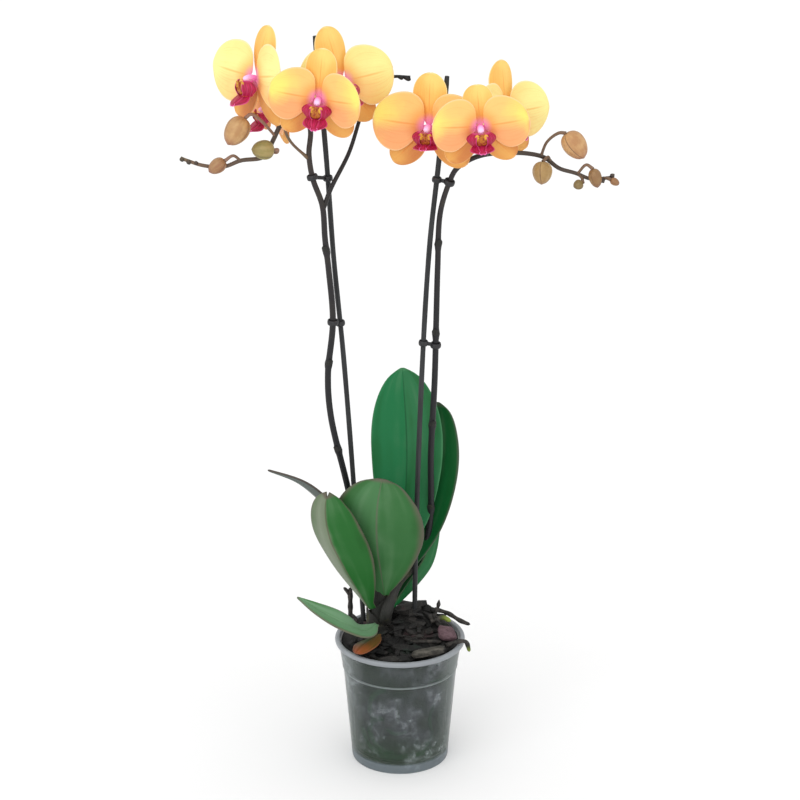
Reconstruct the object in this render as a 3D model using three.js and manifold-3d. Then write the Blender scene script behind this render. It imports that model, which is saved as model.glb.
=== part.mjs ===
// A moth orchid in a clear plastic nursery pot: two flower spikes tied to stakes, seven leaves
// and a withered one, seven open flowers and eight buds. Millimetres, +Z up, the pot's axis on
// the Z axis and its foot on the plane Z = 0. The flowers face -Y.

import * as THREE from 'three';
import { mergeVertices } from 'three/addons/utils/BufferGeometryUtils.js';
import Module from 'manifold-3d';

const wasm = await Module();
wasm.setup();

// ---------------------------------------------------------------- driving dimensions

const GAP = 0.4;                // air kept between two neighbouring pieces

const RIM_RADIUS = 60;          // pot
const RIM_HEIGHT = 120;
const RIM_BAND = 4.4;
const SHOULDER_HEIGHT = 90.5;
const SHOULDER_STEP = 1.2;
const COLLAR_FLARE = 3.1;
const FOOT_RADIUS = 44.5;
const FLOOR_HEIGHT = 11.6;
const BODY_FLARE = 6.7;
const WALL = 1.4;
const DRAIN_RADIUS = 4;
const DRAIN_CIRCLE = 27;
const DRAIN_COUNT = 8;
const POT_SIDES = 36;

const STAKE_RADIUS = 2.3;
const SPIKE_RADIUS = 2.9;
const SPIKE_TIP_RADIUS = 1.5;
const PEDICEL_RADIUS = 1.3;
const CROWN_RADIUS = 8;
const LEAF_THICKNESS = 2.2;

const PETAL_LENGTH = 42.5;      // one flower
const PETAL_HALF_WIDTH = 23.6;
const DORSAL_LENGTH = 44;
const DORSAL_HALF_WIDTH = 13.3;
const LATERAL_LENGTH = 41.5;
const LATERAL_HALF_WIDTH = 12.5;
const TEPAL_THICKNESS = 1;
const FULLER_WIDEST = 0.4;      // of a petal's length, on its upper side
const FULLER_POWER = 0.3;

// ---------------------------------------------------------------- finishes

const finish = (color, roughness) => new THREE.MeshStandardMaterial({ color, roughness, metalness: 0 });

const PLASTIC = finish(0xb9c2c2, 0.35);
const BARK = finish(0x35271f, 0.95);
const ROOT = finish(0x6c7a48, 0.7);
const CANE = finish(0x3a3636, 0.6);
const SPIKE = finish(0x443a3a, 0.5);
const LEAF = finish(0x2f6b33, 0.45);
const OLD_LEAF = finish(0xb4562a, 0.6);
const SEPAL = finish(0xf2a552, 0.5);
const PETAL = finish(0xf6bb58, 0.5);
const LIP = finish(0xc01c4e, 0.45);
const BUD = finish(0xc0a070, 0.5);

const orchid = new THREE.Group();

function piece(name, geometry, material, parent = orchid) {
  const mesh = new THREE.Mesh(geometry, material);
  mesh.name = name;
  parent.add(mesh);
  return mesh;
}

// ---------------------------------------------------------------- joining and cutting

// A closed solid from a closed geometry, turned right side out.
function solid(geometry) {
  const bare = geometry.clone();
  for (const name of Object.keys(bare.attributes)) {
    if (name !== 'position') bare.deleteAttribute(name);
  }
  const merged = mergeVertices(bare, 1e-4);
  const corners = merged.attributes.position.array;
  const triangles = merged.index.array;
  const [a, b, c] = [new THREE.Vector3(), new THREE.Vector3(), new THREE.Vector3()];
  let volume = 0;
  for (let i = 0; i < triangles.length; i += 3) {
    a.fromArray(corners, 3 * triangles[i]);
    b.fromArray(corners, 3 * triangles[i + 1]);
    c.fromArray(corners, 3 * triangles[i + 2]);
    volume += a.dot(b.cross(c));
  }
  const kept = [];
  for (let i = 0; i < triangles.length; i += 3) {
    const [p, q, r] = triangles.slice(i, i + 3);
    if (p === q || q === r || r === p) continue;
    kept.push(p, ...(volume > 0 ? [q, r] : [r, q]));
  }
  return new wasm.Manifold(new wasm.Mesh({
    numProp: 3,
    vertProperties: Float32Array.from(corners),
    triVerts: Uint32Array.from(kept),
  }));
}

// The largest single body of a solid, as a geometry.
function geometryOf(body) {
  const parts = body.decompose().sort((one, other) => other.volume() - one.volume());
  const mesh = parts[0].getMesh();
  const geometry = new THREE.BufferGeometry();
  geometry.setAttribute('position', new THREE.BufferAttribute(mesh.vertProperties, 3));
  geometry.setIndex(new THREE.BufferAttribute(mesh.triVerts, 1));
  geometry.computeVertexNormals();
  return geometry;
}

const join = (bodies) => bodies.reduce((whole, body) => whole.add(body));
const cut = (body, cutters) => cutters.reduce((rest, cutter) => rest.subtract(cutter), body);

// ---------------------------------------------------------------- stems and sheets

const vector = (p) => new THREE.Vector3(...p);

// A round stem along a smooth route. A unit section is extruded along the route, and each of its
// rings is then opened to the stem's radius at that fraction of the length.
function stem(route, radiusAt, steps, sides = 6) {
  const path = new THREE.CatmullRomCurve3(route.map(vector), false, 'centripetal');
  const section = new THREE.Shape().absarc(0, 0, 1, 0, 2 * Math.PI);
  const options = { steps, extrudePath: path, bevelEnabled: false, curveSegments: sides / 2 };
  const geometry = new THREE.ExtrudeGeometry(section, options);
  const centres = path.getSpacedPoints(steps);
  const vertices = geometry.attributes.position;
  const point = new THREE.Vector3();
  for (let i = 0; i < vertices.count; i += 1) {
    point.fromBufferAttribute(vertices, i);
    let nearest = 0;
    for (let k = 1; k <= steps; k += 1) {
      if (point.distanceTo(centres[k]) < point.distanceTo(centres[nearest])) nearest = k;
    }
    point.sub(centres[nearest]).multiplyScalar(radiusAt(nearest / steps)).add(centres[nearest]);
    vertices.setXYZ(i, point.x, point.y, point.z);
  }
  return geometry;
}

const constant = (radius) => () => radius;
const taper = (from, to) => (s) => from + (to - from) * s;

// A thin closed sheet. A box is bent over surface(s, t), where s runs 0..1 along the sheet and
// t runs -1..1 across it, and half of the thickness stands on each side.
function sheet(surface, thickness, along, across) {
  const geometry = new THREE.BoxGeometry(1, 1, 1, along, 1, across);
  const vertices = geometry.attributes.position;
  const step = 0.01;
  for (let i = 0; i < vertices.count; i += 1) {
    const s = vertices.getX(i) + 0.5;
    const t = 2 * vertices.getZ(i);
    const side = vertices.getY(i);
    const here = surface(s, t);
    const alongEdge = surface(Math.min(s + step, 1), t).sub(surface(Math.max(s - step, 0), t));
    const acrossEdge = surface(s, Math.min(t + step, 1)).sub(surface(s, Math.max(t - step, -1)));
    const normal = acrossEdge.cross(alongEdge).normalize();
    here.addScaledVector(normal, side * thickness);
    vertices.setXYZ(i, here.x, here.y, here.z);
  }
  return geometry;
}

// Half of a leaf's or tepal's breadth: it widens like a quarter sine up to its widest place and
// closes like a quarter ellipse, or more sharply with a higher point, and it never falls below
// the stub left at its two ends.
function outline(s, widest, base, tip, point = 0.5) {
  if (s < widest) {
    return Math.max(base, Math.sin((Math.PI / 2) * (s / widest)) ** 0.85);
  }
  return Math.max(tip, Math.max(0, 1 - ((s - widest) / (1 - widest)) ** 2) ** point);
}

// ---------------------------------------------------------------- pot

const bodyRadius = (z) => (
  FOOT_RADIUS + 1 + (BODY_FLARE * (z - FLOOR_HEIGHT)) / (SHOULDER_HEIGHT - FLOOR_HEIGHT));

function pot() {
  const bodyTop = bodyRadius(SHOULDER_HEIGHT);
  const collar = bodyTop + SHOULDER_STEP;
  const profile = [
    [0, FLOOR_HEIGHT - WALL],
    [FOOT_RADIUS - 2, FLOOR_HEIGHT - WALL],
    [FOOT_RADIUS - 2, 0],
    [FOOT_RADIUS, 0],
    [bodyRadius(FLOOR_HEIGHT), FLOOR_HEIGHT],
    [bodyTop, SHOULDER_HEIGHT],
    [collar, SHOULDER_HEIGHT + 1.5],
    [collar + COLLAR_FLARE, RIM_HEIGHT - RIM_BAND - 0.6],
    [RIM_RADIUS, RIM_HEIGHT - RIM_BAND],
    [RIM_RADIUS, RIM_HEIGHT],
    [collar + COLLAR_FLARE - WALL + 0.4, RIM_HEIGHT],
    [collar - WALL, SHOULDER_HEIGHT + 1.5 + WALL],
    [bodyTop - WALL, SHOULDER_HEIGHT + WALL],
    [bodyRadius(FLOOR_HEIGHT) - WALL, FLOOR_HEIGHT],
    [0, FLOOR_HEIGHT],
  ];
  const shell = new THREE.LatheGeometry(profile.map(([r, z]) => new THREE.Vector2(r, z)), POT_SIDES);
  shell.rotateX(Math.PI / 2);
  const holes = [];
  for (let i = 0; i < DRAIN_COUNT; i += 1) {
    const angle = (2 * Math.PI * i) / DRAIN_COUNT;
    const hole = new THREE.CylinderGeometry(DRAIN_RADIUS, DRAIN_RADIUS, 8, 8);
    hole.rotateX(Math.PI / 2);
    hole.translate(DRAIN_CIRCLE * Math.cos(angle), DRAIN_CIRCLE * Math.sin(angle), FLOOR_HEIGHT);
    holes.push(solid(hole));
  }
  return geometryOf(cut(solid(shell), holes));
}

piece('pot', pot(), PLASTIC);

// ---------------------------------------------------------------- stakes

const LEFT_STAKE = [
  [-28, 17, 20], [-35, 16, 148], [-50, 13, 384], [-58, 11, 478], [-64, 10, 575], [-72, 8, 675],
];
const RIGHT_STAKE = [
  [14, 20, 20], [14, 16, 178], [20, 9, 385], [26, 5, 494], [33, 2, 564], [40, 1, 642],
];

piece('stake_left', stem(LEFT_STAKE, constant(STAKE_RADIUS), 16, 8), CANE);
piece('stake_right', stem(RIGHT_STAKE, constant(STAKE_RADIUS), 16, 8), CANE);

const stakeCutters = [LEFT_STAKE, RIGHT_STAKE].map((route) => (
  solid(stem(route, constant(STAKE_RADIUS + GAP), 16, 8))));

// ---------------------------------------------------------------- crown

const CROWN = [[-20, 8, 96], [-22, 8, 122], [-20, 8, 146], [-16, 7, 172]];

const crownBody = solid(stem(CROWN, taper(CROWN_RADIUS, CROWN_RADIUS - 2.5), 6, 8));
const crownCutter = solid(stem(CROWN, taper(CROWN_RADIUS + GAP, CROWN_RADIUS - 2.5 + GAP), 6, 8));

piece('crown', geometryOf(crownBody), LEAF);

// ---------------------------------------------------------------- flowers: place and turn

// Each flower's own frame has its column at the origin, faces -Y and has its dorsal sepal up.
// yaw turns it to face +X, nod tips it down, lean turns its top towards +X; in degrees. dorsal
// gives that flower's dorsal sepal a turn and a tilt back, in degrees, and a share of its length.
// cups is how far its left and right petals tip forward, and tongue how far its lip's middle lobe
// hangs below level; in degrees. lip is the share of the flower's size that its lip has.
const FLOWERS = [
  {
    at: [-123.5, -4, 642], yaw: -52, nod: -6, lean: -3, size: 1.16,
    dorsal: [6, 7, 0.88], cups: [14, 11], tongue: 38, lip: 0.92,
  },
  {
    at: [-115, 38, 607], yaw: -58, nod: 8, lean: 8, size: 0.88,
    dorsal: [0, 7, 1], cups: [11, 11], tongue: 30, lip: 1,
  },
  {
    at: [-68, -46, 632.6], yaw: -5, nod: 4, lean: 5, size: 1,
    dorsal: [0, 7, 0.95], cups: [10, 29], tongue: 33, lip: 1,
  },
  {
    at: [-49, -4, 638], yaw: 32, nod: -8, lean: 0, size: 1.13,
    dorsal: [-8, 7, 0.97], cups: [11, 11], tongue: 25, lip: 0.92,
  },
  {
    at: [24, -14, 602], yaw: -12, nod: 2, lean: 0, size: 1.13,
    dorsal: [0, 7, 0.9], cups: [8, 11], tongue: 8, lip: 0.9,
  },
  {
    at: [67, -48, 609.6], yaw: 2, nod: 5, lean: -4, size: 0.99,
    dorsal: [0, 34, 0.82], cups: [14, 8], tongue: 16, lip: 1,
  },
  {
    at: [92, 20, 605], yaw: 41, nod: -4, lean: 5, size: 1.06,
    dorsal: [0, 7, 0.99], cups: [11, 11], tongue: 25, lip: 1,
  },
];

const radians = THREE.MathUtils.degToRad;

function flowerFrame({ at, yaw, nod, lean, size }) {
  const frame = new THREE.Group();
  frame.position.set(...at);
  frame.rotation.set(radians(nod), radians(lean), radians(yaw), 'ZXY');
  frame.scale.setScalar(size);
  frame.updateMatrixWorld();
  return frame;
}

// The point behind a flower where its pedicel ends, just clear of the sepals.
function flowerBack(flower) {
  const { x, y, z } = new THREE.Vector3(0, 6.4, -1).applyMatrix4(flowerFrame(flower).matrixWorld);
  return [x, y, z];
}

// ---------------------------------------------------------------- buds: place and size

// A bud hangs from its base and points to its tip; girth is its widest radius.
const BUDS = {
  bud_left_1: { base: [-131, -18, 610], tip: [-146, -22, 588], girth: 10.5 },
  bud_left_2: { base: [-107, -17, 582], tip: [-126, -22, 584], girth: 8.5 },
  bud_left_3: { base: [-149, -17, 573], tip: [-163, -17, 563], girth: 6.5 },
  bud_right_1: { base: [142, -1, 593], tip: [158, -1, 571], girth: 10.5 },
  bud_right_2: { base: [122.5, -4, 569], tip: [121.5, -6, 549], girth: 8.7 },
  bud_right_3: { base: [165.5, -4, 562.5], tip: [170, -5, 546], girth: 5.8 },
  bud_right_4: { base: [157, -5, 550.5], tip: [149, -6, 547], girth: 4.4 },
  bud_right_5: { base: [181, -4, 553], tip: [188.5, -3, 548.5], girth: 3.4 },
};

// ---------------------------------------------------------------- flower spikes

const LEFT_SPIKE = [
  [-25, 18, 150], [-37, 21, 207], [-48, 18, 262], [-62, 8, 333], [-64, 5, 372], [-59, 0, 424],
  [-62, -2, 470], [-65, -3, 500], [-67, -4, 530], [-75, -4, 554], [-78, -3, 575], [-77, 0, 598],
  [-88, -2, 613], [-100, -7, 604], [-109, -9, 587], [-116, -11, 575], [-136, -13, 572],
  [-150, -14, 567], [-168, -14, 568], [-186, -14, 574],
];
const LEFT_BRANCH = [
  [-66.5, -4, 526], [-60, 0, 543], [-44, 16, 572], [-35, 22, 599], [-29, 26, 616],
  [-21, 29, 628], [-8, 30, 635], [9, 30, 635],
];
const RIGHT_SPIKE = [
  [-12, -4, 146], [-4, 12, 166], [10, 25, 179], [23, 31, 197], [28, 29, 228], [28, 24, 288],
  [31, 16, 364], [32, 11, 420], [33, 8, 472], [35, 4, 522], [43, 0, 551], [48, -4, 562],
  [58, -9, 571], [72, -12, 577], [90, -10, 578], [109, -4, 576], [124, 2, 571], [137, 4, 561], [151, 3, 557],
  [165, 2, 552], [181, 1, 553.5],
];

// Each pedicel leaves its spike, rises along the points between and ends behind a flower or bud.
const LEFT_PEDICELS = [
  [[-92, -4, 611], [-103, -7, 622], [-113, -4, 634], flowerBack(FLOWERS[0])],
  [[-88, -2, 613], [-86, 18, 618], [-97, 38, 613], flowerBack(FLOWERS[1])],
  [[-79, -4, 572], [-93, -8, 587], [-97, -18, 602], [-86, -32, 620], flowerBack(FLOWERS[2])],
  [[-33, 23, 605], [-44, 18, 624], [-50, 8, 634], flowerBack(FLOWERS[3])],
];
const RIGHT_PEDICELS = [
  [[48, -4, 563], [44, -8, 575], [34, -8, 590], flowerBack(FLOWERS[4])],
  [[74, -12, 577], [76, -28, 588], [72, -40, 601], flowerBack(FLOWERS[5])],
  [[95, -9, 577.5], [92, 12, 579], [87, 25, 587], [84, 28, 599], flowerBack(FLOWERS[6])],
];
const LEFT_BUD_STALKS = {
  bud_left_1: [[-106, -8.5, 592], [-118, -13, 607], [-126, -16, 613]],
  bud_left_2: [[-112.5, -10, 580], [-105, -13, 579], [-104, -15, 582]],
  bud_left_3: [[-136, -13, 572], [-142, -16, 577]],
};
const RIGHT_BUD_STALKS = {
  bud_right_1: [[121, 1, 572.5], [126, 1, 585], [136, 0, 593]],
  bud_right_2: [[129, 3, 568], [127, 0, 572]],
  bud_right_3: [[153, 3, 556.5], [160, 0, 565]],
  bud_right_4: [[153, 3, 556.3], [156.5, 0, 553.5]],
};

function spike(main, mainSteps, others) {
  const round = (s) => SPIKE_RADIUS + (SPIKE_TIP_RADIUS - SPIKE_RADIUS) * s ** 3;
  const bodies = [solid(stem(main, round, mainSteps))];
  for (const [route, radius, steps] of others) {
    bodies.push(solid(stem(route, radius, steps)));
  }
  return join(bodies);
}

// A stalk stops short of its bud, on the line that runs from the bud's tip through its base.
function stalkTo(bud, route) {
  const base = vector(bud.base);
  const back = base.clone().sub(vector(bud.tip)).normalize();
  const { x, y, z } = base.addScaledVector(back, 1.4);
  return [...route, [x, y, z]];
}

const pedicels = (routes) => routes.map((route) => [route, taper(PEDICEL_RADIUS, PEDICEL_RADIUS + 0.4), 6]);
const stalks = (routes) => Object.entries(routes).map(([name, route]) => (
  [stalkTo(BUDS[name], route), constant(PEDICEL_RADIUS), 4]));

const leftSpike = spike(LEFT_SPIKE, 56, [
  [LEFT_BRANCH, taper(2.1, 1.3), 14],
  ...pedicels(LEFT_PEDICELS),
  ...stalks(LEFT_BUD_STALKS),
]);
const rightSpike = spike(RIGHT_SPIKE, 50, [
  ...pedicels(RIGHT_PEDICELS),
  ...stalks(RIGHT_BUD_STALKS),
]);

piece('spike_left', geometryOf(cut(leftSpike, [crownCutter, ...stakeCutters])), SPIKE);
piece('spike_right', geometryOf(cut(rightSpike, [crownCutter, ...stakeCutters])), SPIKE);

const spikeCutters = [LEFT_SPIKE.slice(0, 5), RIGHT_SPIKE.slice(0, 7)].map((route) => (
  solid(stem(route, constant(SPIKE_RADIUS + GAP), 18))));

// ---------------------------------------------------------------- clips

// A clip holds a stake and a spike, each at its own height, in two collars and a short bridge.
const CLIPS = {
  clip_left_upper: [[LEFT_STAKE, 549.5], [LEFT_SPIKE, 554]],
  clip_left_lower: [[LEFT_STAKE, 418], [LEFT_SPIKE, 422.5]],
  clip_right_upper: [[RIGHT_STAKE, 551], [RIGHT_SPIKE, 549.5]],
  clip_right_lower: [[RIGHT_STAKE, 400], [RIGHT_SPIKE, 396.5]],
};
const COLLAR_HEIGHT = 5;
const COLLAR_WALL = 1.4;
const COLLAR_CLEARANCE = 0.7;
const BRIDGE_DEPTH = 3;
const BRIDGE_HEIGHT = 3.4;

// Where a rising route passes a height, and which way it runs there.
function passing(route, height) {
  const path = new THREE.CatmullRomCurve3(route.map(vector), false, 'centripetal');
  let u = 0;
  while (path.getPointAt(u).z < height) u += 0.001;
  return { centre: path.getPointAt(u), along: path.getTangentAt(u) };
}

function collarRod({ centre, along }, radius, height) {
  const geometry = new THREE.CylinderGeometry(radius, radius, height, 12);
  geometry.applyQuaternion(new THREE.Quaternion().setFromUnitVectors(new THREE.Vector3(0, 1, 0), along));
  geometry.translate(...centre.toArray());
  return solid(geometry);
}

function clip([[stake, stakeHeight], [spikeRoute, spikeHeight]]) {
  const holds = [
    [passing(stake, stakeHeight), STAKE_RADIUS + COLLAR_CLEARANCE],
    [passing(spikeRoute, spikeHeight), SPIKE_RADIUS + COLLAR_CLEARANCE],
  ];
  const bores = holds.map(([place, radius]) => collarRod(place, radius, 3 * COLLAR_HEIGHT));
  const collars = holds.map(([place, radius]) => collarRod(place, radius + COLLAR_WALL, COLLAR_HEIGHT));
  const [from, to] = holds.map(([place]) => place.centre);
  const reach = to.clone().sub(from);
  const bridge = new THREE.BoxGeometry(reach.length(), BRIDGE_DEPTH, BRIDGE_HEIGHT);
  bridge.applyQuaternion(new THREE.Quaternion().setFromUnitVectors(
    new THREE.Vector3(1, 0, 0), reach.clone().normalize()));
  bridge.translate(...from.clone().addScaledVector(reach, 0.5).toArray());
  return geometryOf(cut(join([...collars, solid(bridge)]), bores));
}

for (const [name, places] of Object.entries(CLIPS)) {
  piece(name, clip(places), CANE);
}

// ---------------------------------------------------------------- leaves

// A leaf follows its midrib from the crown to its tip. Its upper side faces the given direction,
// and each half rises from the midrib by the fold angle, in degrees.
const LEAVES = {
  leaf_tall: {
    midrib: [
      [-15, 14, 172], [-6, 20, 196], [3, 29, 228], [6, 38, 271], [6, 44, 299], [4, 52, 334], [2, 58, 361],
    ],
    faces: [0.05, -0.95, 0.35], halfWidth: 33.5, widest: 0.66, fold: 10,
  },
  leaf_back: {
    midrib: [[-8, 17, 160], [4, 25, 180], [20, 38, 215], [29, 48, 258], [32, 57, 299], [35, 63, 326]],
    faces: [-0.25, -0.9, 0.3], halfWidth: 27, widest: 0.7, fold: 14,
  },
  leaf_right: {
    midrib: [[-8, 14, 140], [4, 24, 147], [18, 33, 159], [29, 41, 172], [34, 46, 187], [37, 50, 209]],
    faces: [-0.75, -0.15, 0.62], halfWidth: 17, widest: 0.55, fold: 62,
  },
  leaf_front: {
    midrib: [
      [-14, 0, 160], [-17, -9, 186], [-20, -18, 212], [-21, -25, 237], [-20, -28, 262], [-16, -27, 286],
    ],
    faces: [0.05, 0.86, 0.5], halfWidth: 43, widest: 0.56, fold: 8,
  },
  leaf_folded: {
    midrib: [
      [-27, -4, 148], [-37, -16, 171], [-50, -28, 201], [-62, -36, 232], [-66, -37, 260], [-64, -33, 276],
    ],
    faces: [0.42, 0.82, 0.3], halfWidth: 31, widest: 0.62, fold: 30,
  },
  leaf_side: {
    midrib: [[-30, 13, 160], [-46, 24, 204], [-64, 32, 231], [-80, 35, 248], [-93, 35, 258], [-121, 32, 271]],
    faces: [0.3, 0.46, 0.84], halfWidth: 21, widest: 0.5, fold: 6, point: 1,
  },
  leaf_low: {
    midrib: [[-21, -5, 133], [-33, -30, 138], [-49, -43, 151], [-73, -50, 168], [-92, -52, 182]],
    faces: [0.1, -0.3, 0.9], halfWidth: 13.5, widest: 0.42, fold: 8, point: 1,
  },
  leaf_withered: {
    midrib: [[-19, -6, 124], [-26, -24, 127], [-34, -40, 128], [-40, -49, 125]],
    faces: [-0.3, -0.5, 0.8], halfWidth: 10.5, widest: 0.6, fold: -14,
  },
};

function leafSurface({ midrib, faces, halfWidth, widest, fold, point: sharpness }) {
  const path = new THREE.CatmullRomCurve3(midrib.map(vector), false, 'centripetal');
  const up = vector(faces).normalize();
  return (s, t) => {
    const tangent = path.getTangentAt(s);
    const across = new THREE.Vector3().crossVectors(tangent, up).normalize();
    const rise = new THREE.Vector3().crossVectors(across, tangent).normalize();
    const reach = halfWidth * outline(s, widest, 0.2, 0.06, sharpness);
    const point = path.getPointAt(s);
    point.addScaledVector(across, t * reach * Math.cos(radians(fold)));
    return point.addScaledVector(rise, Math.abs(t) * reach * Math.sin(radians(fold)));
  };
}

const leafCutters = [crownCutter, ...spikeCutters, ...stakeCutters];
for (const [name, leaf] of Object.entries(LEAVES)) {
  const surface = leafSurface(leaf);
  const fatter = leafSurface({ ...leaf, halfWidth: leaf.halfWidth + GAP });
  const body = cut(solid(sheet(surface, LEAF_THICKNESS, 11, 4)), leafCutters);
  piece(name, geometryOf(body), name === 'leaf_withered' ? OLD_LEAF : LEAF);
  leafCutters.push(solid(sheet(fatter, LEAF_THICKNESS + 2 * GAP, 11, 4)));
}

// ---------------------------------------------------------------- buds

// A bud is turned from an egg-shaped profile, rounder at its base than at its tip.
function bud({ base, tip, girth }) {
  const axis = vector(tip).sub(vector(base));
  const rings = 7;
  const profile = [];
  for (let i = 0; i <= rings; i += 1) {
    const angle = (Math.PI * i) / rings;
    const radius = i === 0 || i === rings ? 0 : girth * Math.sin(angle) * (1 + 0.12 * Math.cos(angle));
    profile.push(new THREE.Vector2(radius, (axis.length() * (1 - Math.cos(angle))) / 2));
  }
  const geometry = new THREE.LatheGeometry(profile, 10);
  geometry.applyQuaternion(new THREE.Quaternion().setFromUnitVectors(
    new THREE.Vector3(0, 1, 0), axis.clone().normalize()));
  geometry.translate(...base);
  return geometryOf(cut(solid(geometry), [...budCutters]));
}

const budCutters = [
  solid(stem(LEFT_SPIKE.slice(12), constant(SPIKE_RADIUS + GAP), 24)),
  solid(stem(RIGHT_SPIKE.slice(13), constant(SPIKE_RADIUS + GAP), 24)),
];

for (const [name, shape] of Object.entries(BUDS)) {
  piece(name, bud(shape), BUD);
}

// ---------------------------------------------------------------- flowers

// A tepal leaves the column at the given angle from straight up and lies flat in the flower's
// plane; cup tips it forward (or back when negative), and roundness arches it across. The half on
// the fuller side, 1 or -1 across, widens steeply from the column; 0 leaves both halves alike.
function tepal({ angle, start, length, halfWidth, widest, cup, roundness, depth, fuller = 0 }) {
  const out = new THREE.Vector3(Math.sin(radians(angle)), 0, Math.cos(radians(angle)));
  const across = new THREE.Vector3(Math.cos(radians(angle)), 0, -Math.sin(radians(angle)));
  return (s, t) => {
    const reach = start + s * (length - start);
    const steep = t * fuller > 0 && s < FULLER_WIDEST;
    const share = steep
      ? Math.max(0.12, Math.sin((Math.PI / 2) * (s / FULLER_WIDEST)) ** FULLER_POWER)
      : outline(s, t * fuller > 0 ? FULLER_WIDEST : widest, 0.12, 0.3);
    const half = halfWidth * share;
    const forward = reach * Math.sin(radians(cup)) - roundness * (t * half) ** 2;
    const point = out.clone().multiplyScalar(reach * Math.cos(radians(cup)));
    point.addScaledVector(across, t * half);
    point.y = depth - forward;
    return point;
  };
}

function sepals([turn, tilt, share]) {
  const dorsal = tepal({
    angle: turn, start: 0, length: DORSAL_LENGTH * share, halfWidth: DORSAL_HALF_WIDTH,
    widest: 0.6, cup: -tilt, roundness: 0.012, depth: 3,
  });
  const bodies = [solid(sheet(dorsal, TEPAL_THICKNESS, 5, 2))];
  for (const angle of [-137, 137]) {
    const lateral = tepal({
      angle, start: 0, length: LATERAL_LENGTH, halfWidth: LATERAL_HALF_WIDTH,
      widest: 0.58, cup: -2, roundness: 0.01, depth: 3,
    });
    bodies.push(solid(sheet(lateral, TEPAL_THICKNESS, 5, 2)));
  }
  const receptacle = new THREE.CylinderGeometry(4, 3, 2.4, 6);
  receptacle.translate(0, 3, 0);
  bodies.push(solid(receptacle));
  return geometryOf(join(bodies));
}

function petal(side, cup) {
  const surface = tepal({
    angle: side * 82, start: 3.5, length: PETAL_LENGTH, halfWidth: PETAL_HALF_WIDTH,
    widest: 0.52, cup, roundness: 0.006, depth: 0.6, fuller: -side,
  });
  return geometryOf(solid(sheet(surface, TEPAL_THICKNESS, 7, 4)));
}

// The column juts forward over the lip. The lip has two upright side lobes that close in towards
// the front, and an arrow-shaped middle lobe that juts forward and hangs by the tongue angle.
function lip(tongue, share) {
  const column = stem([[0, -1.2, -0.5], [0, -5, -0.6], [0, -9, -1.6]], taper(2.2, 2.7), 2, 6);
  const neck = stem([[0, -3.4, -1.5], [0, -6, -6], [0, -9, -14]], taper(2, 2.6), 2, 6);
  const bodies = [solid(column), solid(neck)];
  for (const side of [-1, 1]) {
    const sideLobe = (s, t) => {
      const half = 6 * outline(s, 0.55, 0.5, 0.5);
      return new THREE.Vector3(
        side * (2.6 + 6.4 * Math.sin(1.6 * s) + 0.5 * t * half),
        -9.5 + 0.75 * t * half - 1.5 * s,
        -14.5 + 12.5 * s,
      );
    };
    bodies.push(solid(sheet(sideLobe, TEPAL_THICKNESS, 3, 2)));
  }
  const reach = 17;
  const middleLobe = (s, t) => {
    const half = s < 0.35 ? 5.5 + 16 * s : 11.1 - 14.5 * (s - 0.35);
    const along = s * reach;
    return new THREE.Vector3(
      t * half,
      -8 - along * Math.cos(radians(tongue)),
      -12.2 - along * Math.sin(radians(tongue)) - 0.02 * (t * half) ** 2,
    );
  };
  bodies.push(solid(sheet(middleLobe, TEPAL_THICKNESS, 4, 2)));
  return geometryOf(join(bodies)).scale(share, share, share);
}

FLOWERS.forEach((flower, i) => {
  const frame = flowerFrame(flower);
  const [left, right] = flower.cups;
  orchid.add(frame);
  piece(`flower_${i + 1}_sepals`, sepals(flower.dorsal), SEPAL, frame);
  piece(`flower_${i + 1}_petal_left`, petal(-1, left), PETAL, frame);
  piece(`flower_${i + 1}_petal_right`, petal(1, right), PETAL, frame);
  piece(`flower_${i + 1}_lip`, lip(flower.tongue, flower.lip), LIP, frame);
});

// ---------------------------------------------------------------- bark

// The top of the bark rises from just under the rim to a mound behind the crown.
function heap(x, y) {
  const mound = 24 * Math.exp(-((x - 16) ** 2 + (y - 24) ** 2) / 900);
  const ridge = 12 * Math.exp(-((x + 36) ** 2 + (y - 10) ** 2) / 350);
  const rubble = 1.6 * Math.sin(x * 0.31 + 1) * Math.cos(y * 0.27);
  return mound + ridge + rubble;
}

const BARK_EDGE = RIM_HEIGHT - 9;

function bark() {
  const inner = (z) => bodyRadius(z) - WALL - GAP;
  const profile = [
    [0, FLOOR_HEIGHT + GAP],
    [inner(FLOOR_HEIGHT) - 0.5, FLOOR_HEIGHT + GAP],
    [inner(SHOULDER_HEIGHT), SHOULDER_HEIGHT + WALL],
    [inner(SHOULDER_HEIGHT) + SHOULDER_STEP, SHOULDER_HEIGHT + 1.5 + 2 * WALL],
    [inner(SHOULDER_HEIGHT) + SHOULDER_STEP + COLLAR_FLARE * 0.6, BARK_EDGE],
  ];
  for (const radius of [50, 42, 34, 25, 16, 8, 0]) {
    profile.push([radius, BARK_EDGE + 2]);
  }
  const geometry = new THREE.LatheGeometry(profile.map(([r, z]) => new THREE.Vector2(r, z)), POT_SIDES);
  geometry.rotateX(Math.PI / 2);
  const vertices = geometry.attributes.position;
  for (let i = 0; i < vertices.count; i += 1) {
    if (vertices.getZ(i) > BARK_EDGE + 1) {
      vertices.setZ(i, vertices.getZ(i) + heap(vertices.getX(i), vertices.getY(i)));
    }
  }
  return solid(geometry);
}

// Loose chips lie on the bark: a block with its corners pulled in, turned about Z and tilted.
const CHIPS = {
  chip_mauve: { at: [43, -7, 125], size: [17, 13, 7], turn: 25, tilt: 18 },
  chip_long: { at: [26, -38, 121.5], size: [27, 9, 6], turn: 14, tilt: 6 },
};

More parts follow.
